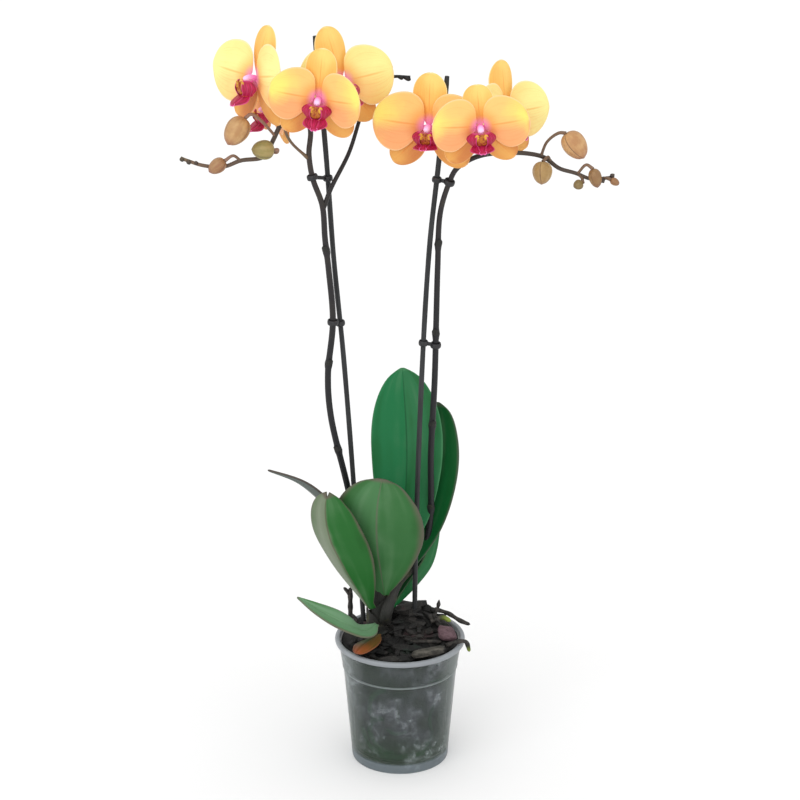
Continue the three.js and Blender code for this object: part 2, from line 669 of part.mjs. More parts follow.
function chip({ at, size, turn, tilt }) {
  const geometry = new THREE.DodecahedronGeometry(0.62);
  geometry.scale(...size);
  geometry.rotateY(radians(tilt));
  geometry.rotateZ(radians(turn));
  geometry.translate(...at);
  return geometry;
}

// Aerial roots: one lies over the rim, one is a short broken stub, one lies on the mound.
const ROOTS = {
  root_over_rim: { route: [[42, -20, 119], [53, -20, 123], [60, -20, 122.8], [63.6, -20.4, 113]], radius: 2 },
  root_stub: { route: [[-46, 20, 126], [-46, 20, 142], [-46, 20, 159]], radius: 2.4 },
  root_mound: { route: [[32, 20, 137], [44, 18, 134], [56, 14, 128], [65, 12, 125]], radius: 2.2 },
};

const rootBodies = Object.entries(ROOTS).map(([name, { route, radius }]) => {
  const body = solid(stem(route, constant(radius), 8));
  piece(name, geometryOf(body), ROOT);
  return solid(stem(route, constant(radius + GAP), 8));
});

const chipBodies = [];
for (const [name, shape] of Object.entries(CHIPS)) {
  const body = cut(solid(chip(shape)), [...rootBodies, ...stakeCutters, ...leafCutters]);
  piece(name, geometryOf(body), BARK);
  const larger = { ...shape, size: shape.size.map((side) => side + 2 * GAP) };
  chipBodies.push(solid(chip(larger)));
}

const barkCutters = [...stakeCutters, ...leafCutters, ...rootBodies, ...chipBodies];
piece('bark', geometryOf(cut(bark(), barkCutters)), BARK);

export default orchid;
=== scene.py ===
import math
import random

import bmesh
import bpy
from mathutils import Matrix, Quaternion, Vector


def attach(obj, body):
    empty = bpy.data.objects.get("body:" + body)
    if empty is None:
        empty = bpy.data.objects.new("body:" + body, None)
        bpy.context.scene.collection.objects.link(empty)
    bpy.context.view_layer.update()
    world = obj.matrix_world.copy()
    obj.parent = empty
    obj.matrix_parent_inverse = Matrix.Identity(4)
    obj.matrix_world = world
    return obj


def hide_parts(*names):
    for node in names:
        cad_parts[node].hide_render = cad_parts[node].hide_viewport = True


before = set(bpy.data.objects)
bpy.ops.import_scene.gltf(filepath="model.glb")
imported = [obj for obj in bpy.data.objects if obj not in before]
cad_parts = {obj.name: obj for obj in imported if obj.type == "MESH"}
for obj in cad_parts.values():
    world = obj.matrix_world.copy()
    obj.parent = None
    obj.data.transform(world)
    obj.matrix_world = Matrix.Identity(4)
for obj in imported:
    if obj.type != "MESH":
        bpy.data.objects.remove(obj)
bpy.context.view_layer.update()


# ------------------------------------------------------------
# The camera stands two metres in front of the plant, a little above it, and looks down at it
# through a long lens.

camera_data = bpy.data.cameras.new("camera")
camera_data.lens = 107.55
camera_data.sensor_width = 36.0
camera = bpy.data.objects.new("camera", camera_data)
camera.location = (0.0, -2.0, 1.07)
camera.rotation_euler = (math.radians(90 - 19.79), 0.0, 0.0)
bpy.context.scene.collection.objects.link(camera)
bpy.context.scene.camera = camera
bpy.context.scene.view_settings.view_transform = "Standard"


# ------------------------------------------------------------
# The studio: a pale seamless floor, a bright even surround, one broad soft lamp at the upper left
# and a weaker one at the right. Every finish is drawn with nodes, by the two classes below.


class Wire:
    """A socket whose sums and products add Math nodes to its finish."""

    def __init__(self, finish, socket):
        self.finish = finish
        self.socket = socket

    def maths(self, operation, first, second=0.0):
        return self.finish.node("Math", {"operation": operation}, {0: first, 1: second})

    def __add__(self, other):
        return self.maths("ADD", self, other)

    __radd__ = __add__

    def __mul__(self, other):
        return self.maths("MULTIPLY", self, other)

    __rmul__ = __mul__

    def __sub__(self, other):
        return self.maths("SUBTRACT", self, other)

    def __rsub__(self, other):
        return self.maths("SUBTRACT", other, self)

    def __abs__(self):
        return self.maths("ABSOLUTE", self)

    def highest(self, other):
        return self.maths("MAXIMUM", self, other)

    def between(self, low, high):
        """0 below low, 1 above high and smooth from one to the other."""
        span = {0: self, 1: low, 2: high, 3: 0.0, 4: 1.0}
        return self.finish.node("MapRange", {"interpolation_type": "SMOOTHSTEP"}, span)


class Finish:
    """A material with one Principled shader, and the nodes that feed it."""

    def __init__(self, name, **constants):
        self.material = bpy.data.materials.new(name)
        self.material.use_nodes = True
        self.tree = self.material.node_tree
        self.shader = self.tree.nodes["Principled BSDF"]
        for socket, value in constants.items():
            self.shader.inputs[socket.replace("_", " ")].default_value = value

    def node(self, kind, settings=(), sockets=(), output=0):
        made = self.tree.nodes.new("ShaderNode" + kind)
        for key, value in dict(settings).items():
            if key == "stops":
                for place, colour in value[1:-1]:
                    made.color_ramp.elements.new(place)
                for element, (place, colour) in zip(made.color_ramp.elements, value):
                    element.position = place
                    element.color = (*colour, 1.0)
            else:
                setattr(made, key, value)
        for key, value in dict(sockets).items():
            self.feed(made.inputs[key], value)
        return Wire(self, made.outputs[output])

    def feed(self, socket, value):
        if isinstance(value, Wire):
            self.tree.links.new(value.socket, socket)
        elif isinstance(value, tuple) and len(value) < len(socket.default_value):
            socket.default_value = (*value, 1.0)
        else:
            socket.default_value = value

    def colour(self, value, glows=False):
        self.feed(self.shader.inputs["Base Color"], value)
        # With glows, the same colour also feeds Emission Color: a painted glow that stands in for light
        # shining through the sheet.
        if glows:
            self.feed(self.shader.inputs["Emission Color"], value)

    def roughness(self, value):
        self.feed(self.shader.inputs["Roughness"], value)

    def place(self):
        """Where a point of the object is, in metres."""
        return self.node("TexCoord", output="Object")

    def sheet(self):
        """How far along a sheet a point is, from 0 to 1, and how far across, from -1 to 1."""
        flat = self.node("UVMap", {"uv_map": "weave"})
        return self.part(flat, 0), self.part(flat, 1) * 2.0 - 1.0

    def part(self, vector, number):
        return self.node("SeparateXYZ", (), {0: vector}, number)

    def tone(self):
        """The number that a mesh carries at each point, from grow or spread."""
        return self.node("Attribute", {"attribute_name": "tone"}, (), "Fac")

    def streaks(self, x, y, detail, roughness):
        """Noise over a sheet, drawn out by how little x and y are multiplied."""
        return self.noise(self.node("CombineXYZ", (), {0: x, 1: y}), 1.0, detail, roughness)

    def noise(self, where, scale, detail=3.0, roughness=0.5):
        sockets = {"Vector": where, "Scale": scale, "Detail": detail, "Roughness": roughness}
        return self.node("TexNoise", (), sockets)

    def mix(self, first, second, share, blend="MIX"):
        settings = {"data_type": "RGBA", "blend_type": blend}
        return self.node("Mix", settings, {0: share, 6: first, 7: second}, 2)

    def coats(self, colour, *coats):
        """Lays colours over the first one in turn, each by its own share."""
        for coat, share in coats:
            colour = self.mix(colour, coat, share)
        return colour

    def ramp(self, value, *stops):
        return self.node("ValToRGB", {"stops": stops}, {0: value})

    def bump(self, height, distance, strength=1.0):
        sockets = {"Height": height, "Distance": distance, "Strength": strength}
        normal = self.node("Bump", (), sockets)
        self.feed(self.shader.inputs["Normal"], normal)


floor_bm = bmesh.new()
bmesh.ops.create_grid(floor_bm, x_segments=2, y_segments=2, size=30.0)
floor_mesh = bpy.data.meshes.new("floor")
floor_bm.to_mesh(floor_mesh)
floor_bm.free()
floor = bpy.data.objects.new("floor", floor_mesh)
bpy.context.scene.collection.objects.link(floor)
floor_finish = Finish("pale_floor", Roughness=0.9, Specular_IOR_Level=0.1)
floor_grain = floor_finish.noise(floor_finish.place(), 3.0)
floor_finish.colour(floor_finish.mix((0.93, 0.93, 0.93), (0.95, 0.95, 0.95), floor_grain))
floor_mesh.materials.append(floor_finish.material)

world = bpy.data.worlds.new("surround")
world.use_nodes = True
world.node_tree.nodes["Background"].inputs["Color"].default_value = (1.0, 1.0, 1.0, 1.0)
world.node_tree.nodes["Background"].inputs["Strength"].default_value = 0.96
bpy.context.scene.world = world


def soft_lamp(name, towards, spread, strength):
    """A broad, far lamp: its light falls evenly on the whole plant and floor."""
    lamp_data = bpy.data.lights.new(name, "SUN")
    lamp_data.angle = math.radians(spread)
    lamp_data.energy = strength
    lamp = bpy.data.objects.new(name, lamp_data)
    lamp.rotation_euler = Vector(towards).to_track_quat("-Z", "Y").to_euler()
    bpy.context.scene.collection.objects.link(lamp)


soft_lamp("key_lamp", (0.5, 0.95, -0.62), 60, 0.9)
soft_lamp("fill_lamp", (-0.8, 0.7, -0.3), 60, 0.3)


# ------------------------------------------------------------
# The nursery pot: cloudy, half-clear polypropylene, formed thin, with a rolled rim, a shoulder
# where pots stack, a foot skirt and eight drain holes in its raised floor.

MM = 0.001


def rounded(profile, radius):
    """The same outline with each inner corner eased by three points."""
    softer = [profile[0]]
    for before, corner, after in zip(profile, profile[1:], profile[2:]):
        before, corner, after = Vector(before), Vector(corner), Vector(after)
        back = before - corner
        ahead = after - corner
        near = corner + back.normalized() * min(radius, back.length * 0.45)
        far = corner + ahead.normalized() * min(radius, ahead.length * 0.45)
        softer += [tuple(near), tuple((near + corner * 2 + far) / 4), tuple(far)]
    return softer + [profile[-1]]


def spin_round(bm, parts, steps):
    """Spins vertices and edges a full turn about the Z axis."""
    bmesh.ops.spin(
        bm,
        geom=parts,
        cent=(0.0, 0.0, 0.0),
        axis=(0.0, 0.0, 1.0),
        angle=2 * math.pi,
        steps=steps,
        use_merge=True,
    )


def turned(bm, profile, steps):
    """Spins an outline of (radius, height) in millimetres about the pot's axis."""
    made = [bm.verts.new((r * MM, 0.0, z * MM)) for r, z in profile]
    edges = [bm.edges.new(pair) for pair in zip(made, made[1:])]
    spin_round(bm, made + edges, steps)
    bmesh.ops.remove_doubles(bm, verts=bm.verts, dist=0.00002)
    bmesh.ops.recalc_face_normals(bm, faces=bm.faces)


def set_down(bm, name, finishes, nodes):
    """Makes a finished piece of a mesh, which stands for those CAD nodes."""
    mesh = bpy.data.meshes.new(name)
    bm.to_mesh(mesh)
    bm.free()
    for finish in finishes:
        mesh.materials.append(finish.material)
    mesh.polygons.foreach_set("use_smooth", [True] * len(mesh.polygons))
    piece = bpy.data.objects.new(name, mesh)
    bpy.context.scene.collection.objects.link(piece)
    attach(piece, "root")
    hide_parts(*nodes)
    return piece


def set_solid(bm, name, finishes, nodes):
    """Sets down closed shapes, with their faces turned outwards."""
    bmesh.ops.recalc_face_normals(bm, faces=bm.faces)
    return set_down(bm, name, finishes, nodes)


pot_profile = [
    (0, 10.2),
    (42.6, 10.2),
    (42.6, 0),
    (44.6, 0),
    (45.3, 9.2),
    (44.9, 10.2),
    (45.5, 11.6),
    (52.2, 89.7),
    (51.9, 90.7),
    (53.4, 91.7),
    (53.2, 93.1),
    (56.5, 115.0),
    (59.4, 115.3),
    (60, 117.6),
    (59.4, 119.6),
    (57.6, 120),
    (55.6, 119.4),
    (55.1, 114),
    (52.0, 93.4),
    (50.8, 91.9),
    (44.1, 11.6),
    (0, 11.6),
]
pot_bm = bmesh.new()
turned(pot_bm, rounded(pot_profile, 0.7), 96)

cloudy = Finish("cloudy_plastic", Specular_IOR_Level=0.5)
spot = cloudy.place()
height = cloudy.part(spot, 2)
clouds = cloudy.noise(spot, 30.0, 4.0, 0.55)
wisps = cloudy.noise(spot, 120.0, 5.0, 0.7)
drops = cloudy.node("TexVoronoi", (), {"Vector": spot, "Scale": 300.0})
scuffs = cloudy.node("Mapping", (), {0: spot, "Scale": (160.0, 160.0, 50.0)})
scuffs = cloudy.noise(scuffs, 1.0, 5.0, 0.72)
rim_band = height.between(0.1145, 0.1158)
foot_band = 1.0 - height.between(0.0080, 0.0100)
shoulder = 1.0 - abs(height - 0.0907).between(0.0003, 0.0011)
misted = clouds.between(0.46, 0.66) * wisps.between(0.40, 0.66)
# Condensation beads on the wall: the drops are real, and their pale flecks are painted glints of light on
# them.
bead_glints = (1.0 - drops.between(0.12, 0.22)) * wisps.between(0.52, 0.6)
bead_glints = bead_glints * (1.0 - height.between(0.075, 0.095))
mossy = (1.0 - height.between(0.018, 0.045)) * (1.0 - foot_band) * clouds.between(0.3, 0.5)
# Painted haze and sheen: the wall's left and right sides, where the view slants through it, are lighter in
# colour and more opaque.
painted_slant_haze = abs(cloudy.part(spot, 0)).between(0.030, 0.050)
wall_colour = cloudy.coats(
    (0.040, 0.058, 0.048),
    ((0.095, 0.105, 0.118), clouds.between(0.36, 0.62)),
    ((0.03, 0.05, 0.035), scuffs.between(0.52, 0.62) * 0.7),
    ((0.022, 0.052, 0.022), mossy * 0.8),
    ((0.30, 0.34, 0.35), misted * 0.5),
    ((0.27, 0.31, 0.30), painted_slant_haze * 0.55),
    ((0.50, 0.54, 0.57), bead_glints * 0.4),
    ((0.46, 0.52, 0.52), shoulder * 0.6),
    ((0.27, 0.29, 0.31), rim_band),
    ((0.155, 0.19, 0.21), foot_band * 0.9),
)
cloudy.colour(wall_colour)
cloudy.roughness(0.3 + wisps * 0.2)
haze = 0.42 + misted * 0.22 + rim_band * 0.45 + foot_band * 0.28 + shoulder * 0.2 + bead_glints * 0.2
haze = haze + painted_slant_haze * (1.0 - foot_band) * (1.0 - rim_band) * 0.2
cloudy.feed(cloudy.shader.inputs["Alpha"], haze)
cloudy.bump(wisps + clouds * 2.0, 0.0005, 0.25)
pot = set_down(pot_bm, "pot_shell", [cloudy], ["pot"])

HOLES = 8
HOLE_RADIUS = 4 * MM
HOLE_RING = 27 * MM
drill_bm = bmesh.new()
for i in range(HOLES):
    turn = 2 * math.pi * i / HOLES
    hole = Matrix.Translation((HOLE_RING * math.cos(turn), HOLE_RING * math.sin(turn), 11 * MM))
    bmesh.ops.create_cone(
        drill_bm,
        cap_ends=True,
        segments=20,
        radius1=HOLE_RADIUS,
        radius2=HOLE_RADIUS,
        depth=8 * MM,
        matrix=hole,
    )
drill_mesh = bpy.data.meshes.new("drill")
drill_bm.to_mesh(drill_mesh)
drill_bm.free()
drill = bpy.data.objects.new("drill", drill_mesh)
bpy.context.scene.collection.objects.link(drill)
drilling = pot.modifiers.new("drain_holes", "BOOLEAN")
drilling.operation = "DIFFERENCE"
drilling.object = drill
bpy.context.view_layer.update()
drilled = pot.evaluated_get(bpy.context.evaluated_depsgraph_get())
drilled_mesh = bpy.data.meshes.new_from_object(drilled)
pot.modifiers.clear()
pot.data = drilled_mesh
bpy.data.objects.remove(drill)


# ------------------------------------------------------------
# The potting mix: chopped conifer bark, dark and damp, heaped behind the plant. A solid bed fills
# the pot, and about 150 loose chips lie on it; two larger ones, mauve and grey, are lighter.

BARK_EDGE = 111
chance = random.Random(11)


def heap(x, y):
    """How far the bark stands above its edge, in millimetres."""
    mound = 24 * math.exp(-((x - 16) ** 2 + (y - 24) ** 2) / 900)
    ridge = 12 * math.exp(-((x + 36) ** 2 + (y - 10) ** 2) / 350)
    return mound + ridge + 1.6 * math.sin(x * 0.31 + 1) * math.cos(y * 0.27)


bark = Finish("damp_bark", Specular_IOR_Level=0.35)
spot = bark.place()
lumps = bark.node("TexVoronoi", {"feature": "F1"}, {"Vector": spot, "Scale": 95.0}, "Color")
lump = bark.node("SeparateColor", (), {0: lumps})
grain = bark.noise(spot, 420.0, 5.0, 0.65)
blotch = bark.noise(spot, 60.0, 3.0)
bark_colour = bark.ramp(
    lump * 0.6 + grain * 0.4,
    (0.0, (0.003, 0.003, 0.003)),
    (0.45, (0.010, 0.0095, 0.0088)),
    (0.72, (0.026, 0.024, 0.022)),
    (1.0, (0.075, 0.068, 0.062)),
)
mossy = blotch.between(0.56, 0.75) * 0.7
dusty = (1.0 - blotch).between(0.62, 0.72) * 0.7
bark.colour(bark.coats(bark_colour, ((0.012, 0.024, 0.016), mossy), ((0.055, 0.030, 0.032), dusty)))
bark.roughness(0.55 + grain * 0.35)
bark.bump(grain + lump, 0.0012, 0.7)

bed_profile = [
    (0, 12.2),
    (41.5, 12.2),
    (42.6, 14),
    (49.0, 88),
    (51.0, 96),
    (53.8, 109),
    (54.1, 112.5),
]
bed_profile += [(radius, 113) for radius in (52, 49, 45, 41, 37, 33, 29, 25, 21, 17, 13, 9, 5, 0)]
bed_bm = bmesh.new()
turned(bed_bm, bed_profile, 72)
for v in bed_bm.verts:
    if v.co.z > 112 * MM:
        v.co.z += (heap(v.co.x / MM, v.co.y / MM) - 2.0 + chance.uniform(-0.9, 0.9)) * MM
set_down(bed_bm, "bark_bed", [bark], ["bark"])


def eased(bm, edges, by, segments):
    """Bevels the edges of a block."""
    bmesh.ops.bevel(
        bm,
        geom=edges,
        offset=by,
        segments=segments,
        profile=0.5,
        affect="EDGES",
        material=-1,
    )


def lay_chip(bm, place, turn, size, wear, segments=1):
    """A bark chip: a bevelled block whose corners are knocked about by its wear."""
    before = set(bm.verts)
    block = bmesh.ops.create_cube(bm, size=1.0)["verts"]
    edges = list({e for v in block for e in v.link_edges})
    eased(bm, edges, 0.22, segments)
    for v in [v for v in bm.verts if v not in before]:
        knock = Vector([chance.uniform(-wear, wear) for _ in range(3)])
        taper = 1.0 - 0.5 * max(0.0, v.co.x) * wear * 4
        local = Vector((v.co.x, v.co.y * taper, v.co.z * taper)) + knock
        v.co = place + turn @ Vector((local.x * size[0], local.y * size[1], local.z * size[2]))


chips_bm = bmesh.new()
for i in range(150):
    out = 47 * math.sqrt(chance.random())
    way = chance.uniform(0, 2 * math.pi)
    x, y = out * math.cos(way), out * math.sin(way)
    length = chance.uniform(10, 25) * (1.0 if out < 36 else 0.65)
    turn = way + math.pi / 2 + chance.uniform(-1, 1) * (1.6 if out < 34 else 0.25)
    tip = Quaternion((1, 0, 0), chance.uniform(-0.6, 0.6))
    tip @= Quaternion((0, 1, 0), chance.uniform(-0.35, 0.35))
    rise = BARK_EDGE + 0.8 + heap(x, y) + chance.uniform(-1.5, 3.2)
    size = (length * MM, chance.uniform(4.5, 10) * MM, chance.uniform(2.2, 4.4) * MM)
    lay_chip(chips_bm, Vector((x, y, rise)) * MM, Quaternion((0, 0, 1), turn) @ tip, size, 0.1)
for x, y, rise, turn, length, breadth in (
    (10, 22, 139, 0.5, 34, 9),
    (28, 14, 133, 2.2, 24, 9),
    (8, -24, 118, -0.25, 30, 8),
    (-4, -40, 114.5, 0.1, 26, 7),
    (40, 10, 127, 1.9, 20, 8),
):
    lie = Quaternion((0, 0, 1), turn) @ Quaternion((1, 0, 0), 0.3)
    size = (length * MM, breadth * MM, 4.5 * MM)
    lay_chip(chips_bm, Vector((x, y, rise)) * MM, lie, size, 0.06)
loose = set_solid(chips_bm, "bark_chips", [bark], ["bark"])
loose.data.polygons.foreach_set("use_smooth", [False] * len(loose.data.polygons))


def split_bark(name, dark, light):
    """The finish of one bigger chip, with its layers along its length."""
    finish = Finish(name, Specular_IOR_Level=0.3)
    spot = finish.place()
    stretch = {0: spot, "Rotation": (0.0, 0.0, -0.25), "Scale": (60.0, 420.0, 420.0)}
    layers = finish.noise(finish.node("Mapping", (), stretch), 1.0, 4.0, 0.6)
    flecks = finish.noise(spot, 300.0, 4.0, 0.7)
    finish.colour(finish.mix(dark, light, (layers * 0.7 + flecks * 0.3).between(0.35, 0.68)))
    finish.roughness(0.6 + flecks * 0.3)
    finish.bump(layers + flecks * 0.5, 0.001, 0.8)
    return finish


mauve_bm = bmesh.new()
mauve_lie = Quaternion((0, 0, 1), 0.44) @ Quaternion((0, 1, 0), 0.31) @ Quaternion((1, 0, 0), 0.5)
mauve_size = (16.5 * MM, 15 * MM, 6.5 * MM)
lay_chip(mauve_bm, Vector((43, -7, 125)) * MM, mauve_lie, mauve_size, 0.05, 2)
mauve = split_bark("mauve_bark", (0.075, 0.042, 0.048), (0.15, 0.09, 0.105))
set_solid(mauve_bm, "chip_pink", [mauve], ["chip_mauve"])

long_bm = bmesh.new()
long_lie = Quaternion((0, 0, 1), 0.24) @ Quaternion((0, 1, 0), -0.1)
long_size = (30 * MM, 8.5 * MM, 6 * MM)
lay_chip(long_bm, Vector((26, -38, 121.3)) * MM, long_lie, long_size, 0.05, 2)
grey = split_bark("grey_bark", (0.028, 0.026, 0.022), (0.13, 0.12, 0.1))
set_solid(long_bm, "chip_grey", [grey], ["chip_long"])


# ------------------------------------------------------------
# The roots: round and fleshy, grey-brown where they are dry and green at their growing tips. Some
# lie over the bark and the rim, and some press against the inside of the pot's wall.


class Line:
    """A smooth line through a few points, followed by share of its length."""

    def __init__(self, points):
        through = [Vector(p) * MM for p in points]
        ends = [2 * through[0] - through[1], *through, 2 * through[-1] - through[-2]]
        self.places = [through[0]]
        for a, b, c, d in zip(ends, ends[1:], ends[2:], ends[3:]):
            first, middle, last = [math.sqrt((q - p).length) for p, q in ((a, b), (b, c), (c, d))]
            leave = ((b - a) / first - (c - a) / (first + middle) + (c - b) / middle) * middle
            arrive = ((c - b) / middle - (d - b) / (middle + last) + (d - c) / last) * middle
            for i in range(1, 13):
                u = i / 12
                bend = (3 * (c - b) - 2 * leave - arrive) * u**2
                self.places.append(b + leave * u + bend + (2 * (b - c) + leave + arrive) * u**3)
        self.reaches = [0.0]
        for p, q in zip(self.places, self.places[1:]):
            self.reaches.append(self.reaches[-1] + (q - p).length)

    def at(self, share):
        reach = min(max(share, 0.0), 1.0) * self.reaches[-1]
        i = 1
        while i < len(self.reaches) - 1 and self.reaches[i] < reach:
            i += 1
        span = self.reaches[i] - self.reaches[i - 1]
        return self.places[i - 1].lerp(self.places[i], (reach - self.reaches[i - 1]) / span)

    def heading(self, share):
        return (self.at(share + 0.004) - self.at(share - 0.004)).normalized()

    def at_height(self, height):
        """The share of a rising line's length where it passes a height in millimetres."""
        share = 0.0
        while self.at(share).z < height * MM:
            share += 0.002
        return share


def grow(bm, line, radius_at, rings, sides=12, tone_at=lambda share: 0.0):
    """A round stem: a disc is drawn out ring by ring along the line, and its end is closed."""
    tone = bm.verts.layers.float.get("tone") or bm.verts.layers.float.new("tone")
    heading = line.heading(0.0)
    turn = heading.to_track_quat("Z", "X")
    centre, radius = line.at(0.0), radius_at(0.0)
    ring = bmesh.ops.create_circle(bm, cap_ends=True, segments=sides, radius=radius)["verts"]
    edges = [e for e in {e for v in ring for e in v.link_edges}]
    for v in ring:
        v.co = centre + turn @ v.co
        v[tone] = tone_at(0.0)
    for i in range(1, rings + 1):
        share = i / rings
        made = bmesh.ops.extrude_edge_only(bm, edges=edges)["geom"]
        ring = [g for g in made if isinstance(g, bmesh.types.BMVert)]
        here = set(ring)
        edges = [g for g in made if isinstance(g, bmesh.types.BMEdge) and set(g.verts) <= here]
        ahead = line.heading(share)
        swing = heading.rotation_difference(ahead)
        wider = radius_at(share) / radius
        for v in ring:
            v.co = line.at(share) + swing @ ((v.co - centre) * wider)
            v[tone] = tone_at(share)
        heading, centre, radius = ahead, line.at(share), radius_at(share)
    bmesh.ops.edgeloop_fill(bm, edges=edges)


def blunt(radius, tip, swell=0.0):
    """A root's radius: lumpy along its length, and rounded off at its tip."""

    def at(share):
        close = math.sqrt(max(0.02, 1 - ((share - 1 + tip) / tip) ** 2)) if share > 1 - tip else 1.0
        return (radius + swell * math.sin(share * 19.0)) * close * MM

    return at


rooty = Finish("root_skin", Specular_IOR_Level=0.35)
spot = rooty.place()
green = rooty.tone()
skin = rooty.noise(spot, 260.0, 4.0, 0.6)
old_skin = rooty.mix((0.010, 0.009, 0.008), (0.050, 0.043, 0.037), skin.between(0.4, 0.7))
root_colour = rooty.mix(old_skin, (0.20, 0.26, 0.035), green.between(0.35, 0.9))
rooty.colour(root_colour)
rooty.roughness(0.5 + skin * 0.3)
rooty.bump(skin, 0.0006, 0.6)

ROOTS = {
    "root_over_rim": ([(42, -20, 119), (53, -20, 123), (60, -20, 122.8), (63.6, -20.4, 113)], 2.0),
    "root_stub": ([(-46, 20, 126), (-46, 20, 142), (-46, 20, 159)], 2.3),
    "root_mound": ([(32, 20, 137), (44, 18, 134), (56, 14, 128), (65, 12, 125)], 2.0),
}
TWIGS = {
    "root_stub": (
        ([(-46, 20, 150), (-49, 19, 156), (-52, 18, 160)], (1.7, 0.3), 12, 0),
        ([(-46, 20, 132), (-41, 18, 128), (-38, 14, 120)], (1.8, 0.3), 12, 0),
    ),
    "root_mound": (
        ([(31, 4, 136), (35, 6, 146), (36, 6, 153)], (1.7, 0.3, 0.3), 14, 0),
        ([(28, 4, 132), (40, 8, 134), (47, 6, 131)], (2.2, 0.2), 14, 1),
        ([(10, -14, 120), (26, -20, 123), (38, -16, 121)], (1.8, 0.2), 18, 0),
    ),
}
for node, (route, radius) in ROOTS.items():
    root_bm = bmesh.new()
    lively = 0.75 if node == "root_over_rim" else 0.0
    grow(
        root_bm,
        Line(route),
        blunt(radius, 0.1, 0.25),
        26,
        12,
        lambda share: lively * max(0.0, (share - 0.55) / 0.4),
    )
    for twig, girth, rings, liveliness in TWIGS.get(node, ()):
        grow(root_bm, Line(twig), blunt(*girth), rings, 12, lambda share: liveliness * share)
    set_solid(root_bm, "aerial_" + node, [rooty], [node])


def wall_root(points, radius):
    """A root that presses against the wall; points are (turn in degrees, height)."""
    route = []
    for turn, height in points:
        inside = 44.1 + (height - 11.6) * 0.0849 - radius - 0.15
        angle = math.radians(turn)
        route.append((inside * math.sin(angle), -inside * math.cos(angle), height))
    return Line(route)


pressed = Finish("pressed_root", Specular_IOR_Level=0.3)
spot = pressed.place()
skin = pressed.noise(spot, 90.0, 3.0, 0.6)
pressed.colour(pressed.mix((0.004, 0.050, 0.016), (0.035, 0.11, 0.045), skin.between(0.35, 0.7)))
pressed.roughness(0.55 + skin * 0.2)
WALL_ROOTS = [
    ([(-14, 88), (-24, 84), (-34, 74), (-36, 62), (-30, 54)], 3.4),
    ([(-20, 58), (-32, 52), (-38, 42), (-33, 30), (-20, 22), (-4, 21)], 3.8),
    ([(-50, 40), (-42, 26), (-26, 18), (0, 17), (26, 18), (48, 22)], 3.8),
    ([(8, 44), (-6, 42), (-16, 46)], 2.0),
    ([(42, 70), (36, 52), (41, 34), (30, 22)], 1.8),
    ([(30, 94), (44, 92), (58, 86), (66, 74)], 2.0),
    ([(100, 90), (120, 70), (112, 46), (135, 30), (160, 24)], 2.5),
    ([(180, 96), (196, 76), (188, 52), (214, 34)], 2.4),
    ([(240, 84), (256, 60), (248, 40), (270, 22), (296, 18)], 2.5),
    ([(80, 20), (104, 18), (140, 17), (190, 18), (226, 24)], 2.3),
]
pressed_bm = bmesh.new()
for points, radius in WALL_ROOTS:
    grow(pressed_bm, wall_root(points, radius), blunt(radius, 0.12, 0.15), 40, 10)
set_solid(pressed_bm, "wall_roots", [pressed], ["bark"])


# ------------------------------------------------------------
# The crown: the short stem of the plant, wrapped in the dark dry sheaths of leaves that have
# dropped. They clasp it from alternate sides, and one clasps the foot of the right flower spike.

CROWN = Line([(-20, 8, 96), (-22, 8, 122), (-20, 8, 146), (-16, 7, 172)])

dry = Finish("dry_sheath", Specular_IOR_Level=0.4)
along, across = dry.sheet()
spot = dry.place()
fibres = dry.streaks(along * 3.0, across * 26.0, 4.0, 0.65)
patches = dry.noise(spot, 70.0, 3.0)
dry_colour = dry.ramp(
    fibres,
    (0.25, (0.005, 0.005, 0.005)),
    (0.5, (0.014, 0.014, 0.012)),
    (0.75, (0.045, 0.044, 0.036)),
)
dry_colour = dry.mix(dry_colour, (0.050, 0.052, 0.016), patches.between(0.54, 0.68) * 0.7)
dry.colour(dry_colour)
dry.roughness(0.5 + fibres * 0.25)
dry.bump(fibres, 0.0008, 0.8)


def spread(bm, shape, along, across, matrix=Matrix()):
    """A thin sheet: a flat grid moved to shape(s, t), with s from 0 to 1 and t from -1 to 1.
    Its tone is how far each point is from the shape's own origin, in metres."""
    weave = bm.loops.layers.uv.get("weave") or bm.loops.layers.uv.new("weave")
    tone = bm.verts.layers.float.get("tone") or bm.verts.layers.float.new("tone")
    made = bmesh.ops.create_grid(bm, x_segments=along, y_segments=across, size=1.0)["verts"]
    flat = {v: ((v.co.x + 1) / 2, v.co.y) for v in made}
    for face in {f for v in made for f in v.link_faces}:
        for loop in face.loops:
            s, t = flat[loop.vert]
            loop[weave].uv = (s, (t + 1) / 2)
    for v in made:
        place = shape(*flat[v])
        v[tone] = place.length
        v.co = matrix @ place


def stance_round(line, share, facing):
    """The line's heading, the direction off it that is nearest to facing, and the one aside."""
    heading = line.heading(share)
    outward = (Vector(facing) - heading * heading.dot(Vector(facing))).normalized()
    return heading, outward, heading.cross(outward)


def sheath(line, start, end, facing, radius, flare):
    """A sheath wraps a stem from start to end of its length, open on one side, with a torn tip."""

    def shape(s, t):
        share = start + (end - start) * s
        heading, outward, aside = stance_round(line, share, facing)
        open_by = 2.7 * (1 - 0.72 * s**2)
        girth = (radius + flare * s**3 + 0.25 * math.sin(7 * t + 9 * s)) * MM
        angle = t * open_by
        lift = heading * (1 - abs(t)) ** 2 * 5 * s * MM
        return line.at(share) + (outward * math.cos(angle) + aside * math.sin(angle)) * girth + lift

    return shape


def thicken(piece, depth):
    """Gives a sheet its thickness, and rounds its edges off."""
    wall = piece.modifiers.new("thickness", "SOLIDIFY")
    wall.thickness = depth * MM
    wall.offset = 0.0
    soften = piece.modifiers.new("softness", "SUBSURF")
    soften.levels = 1
    soften.render_levels = 1
    return wall


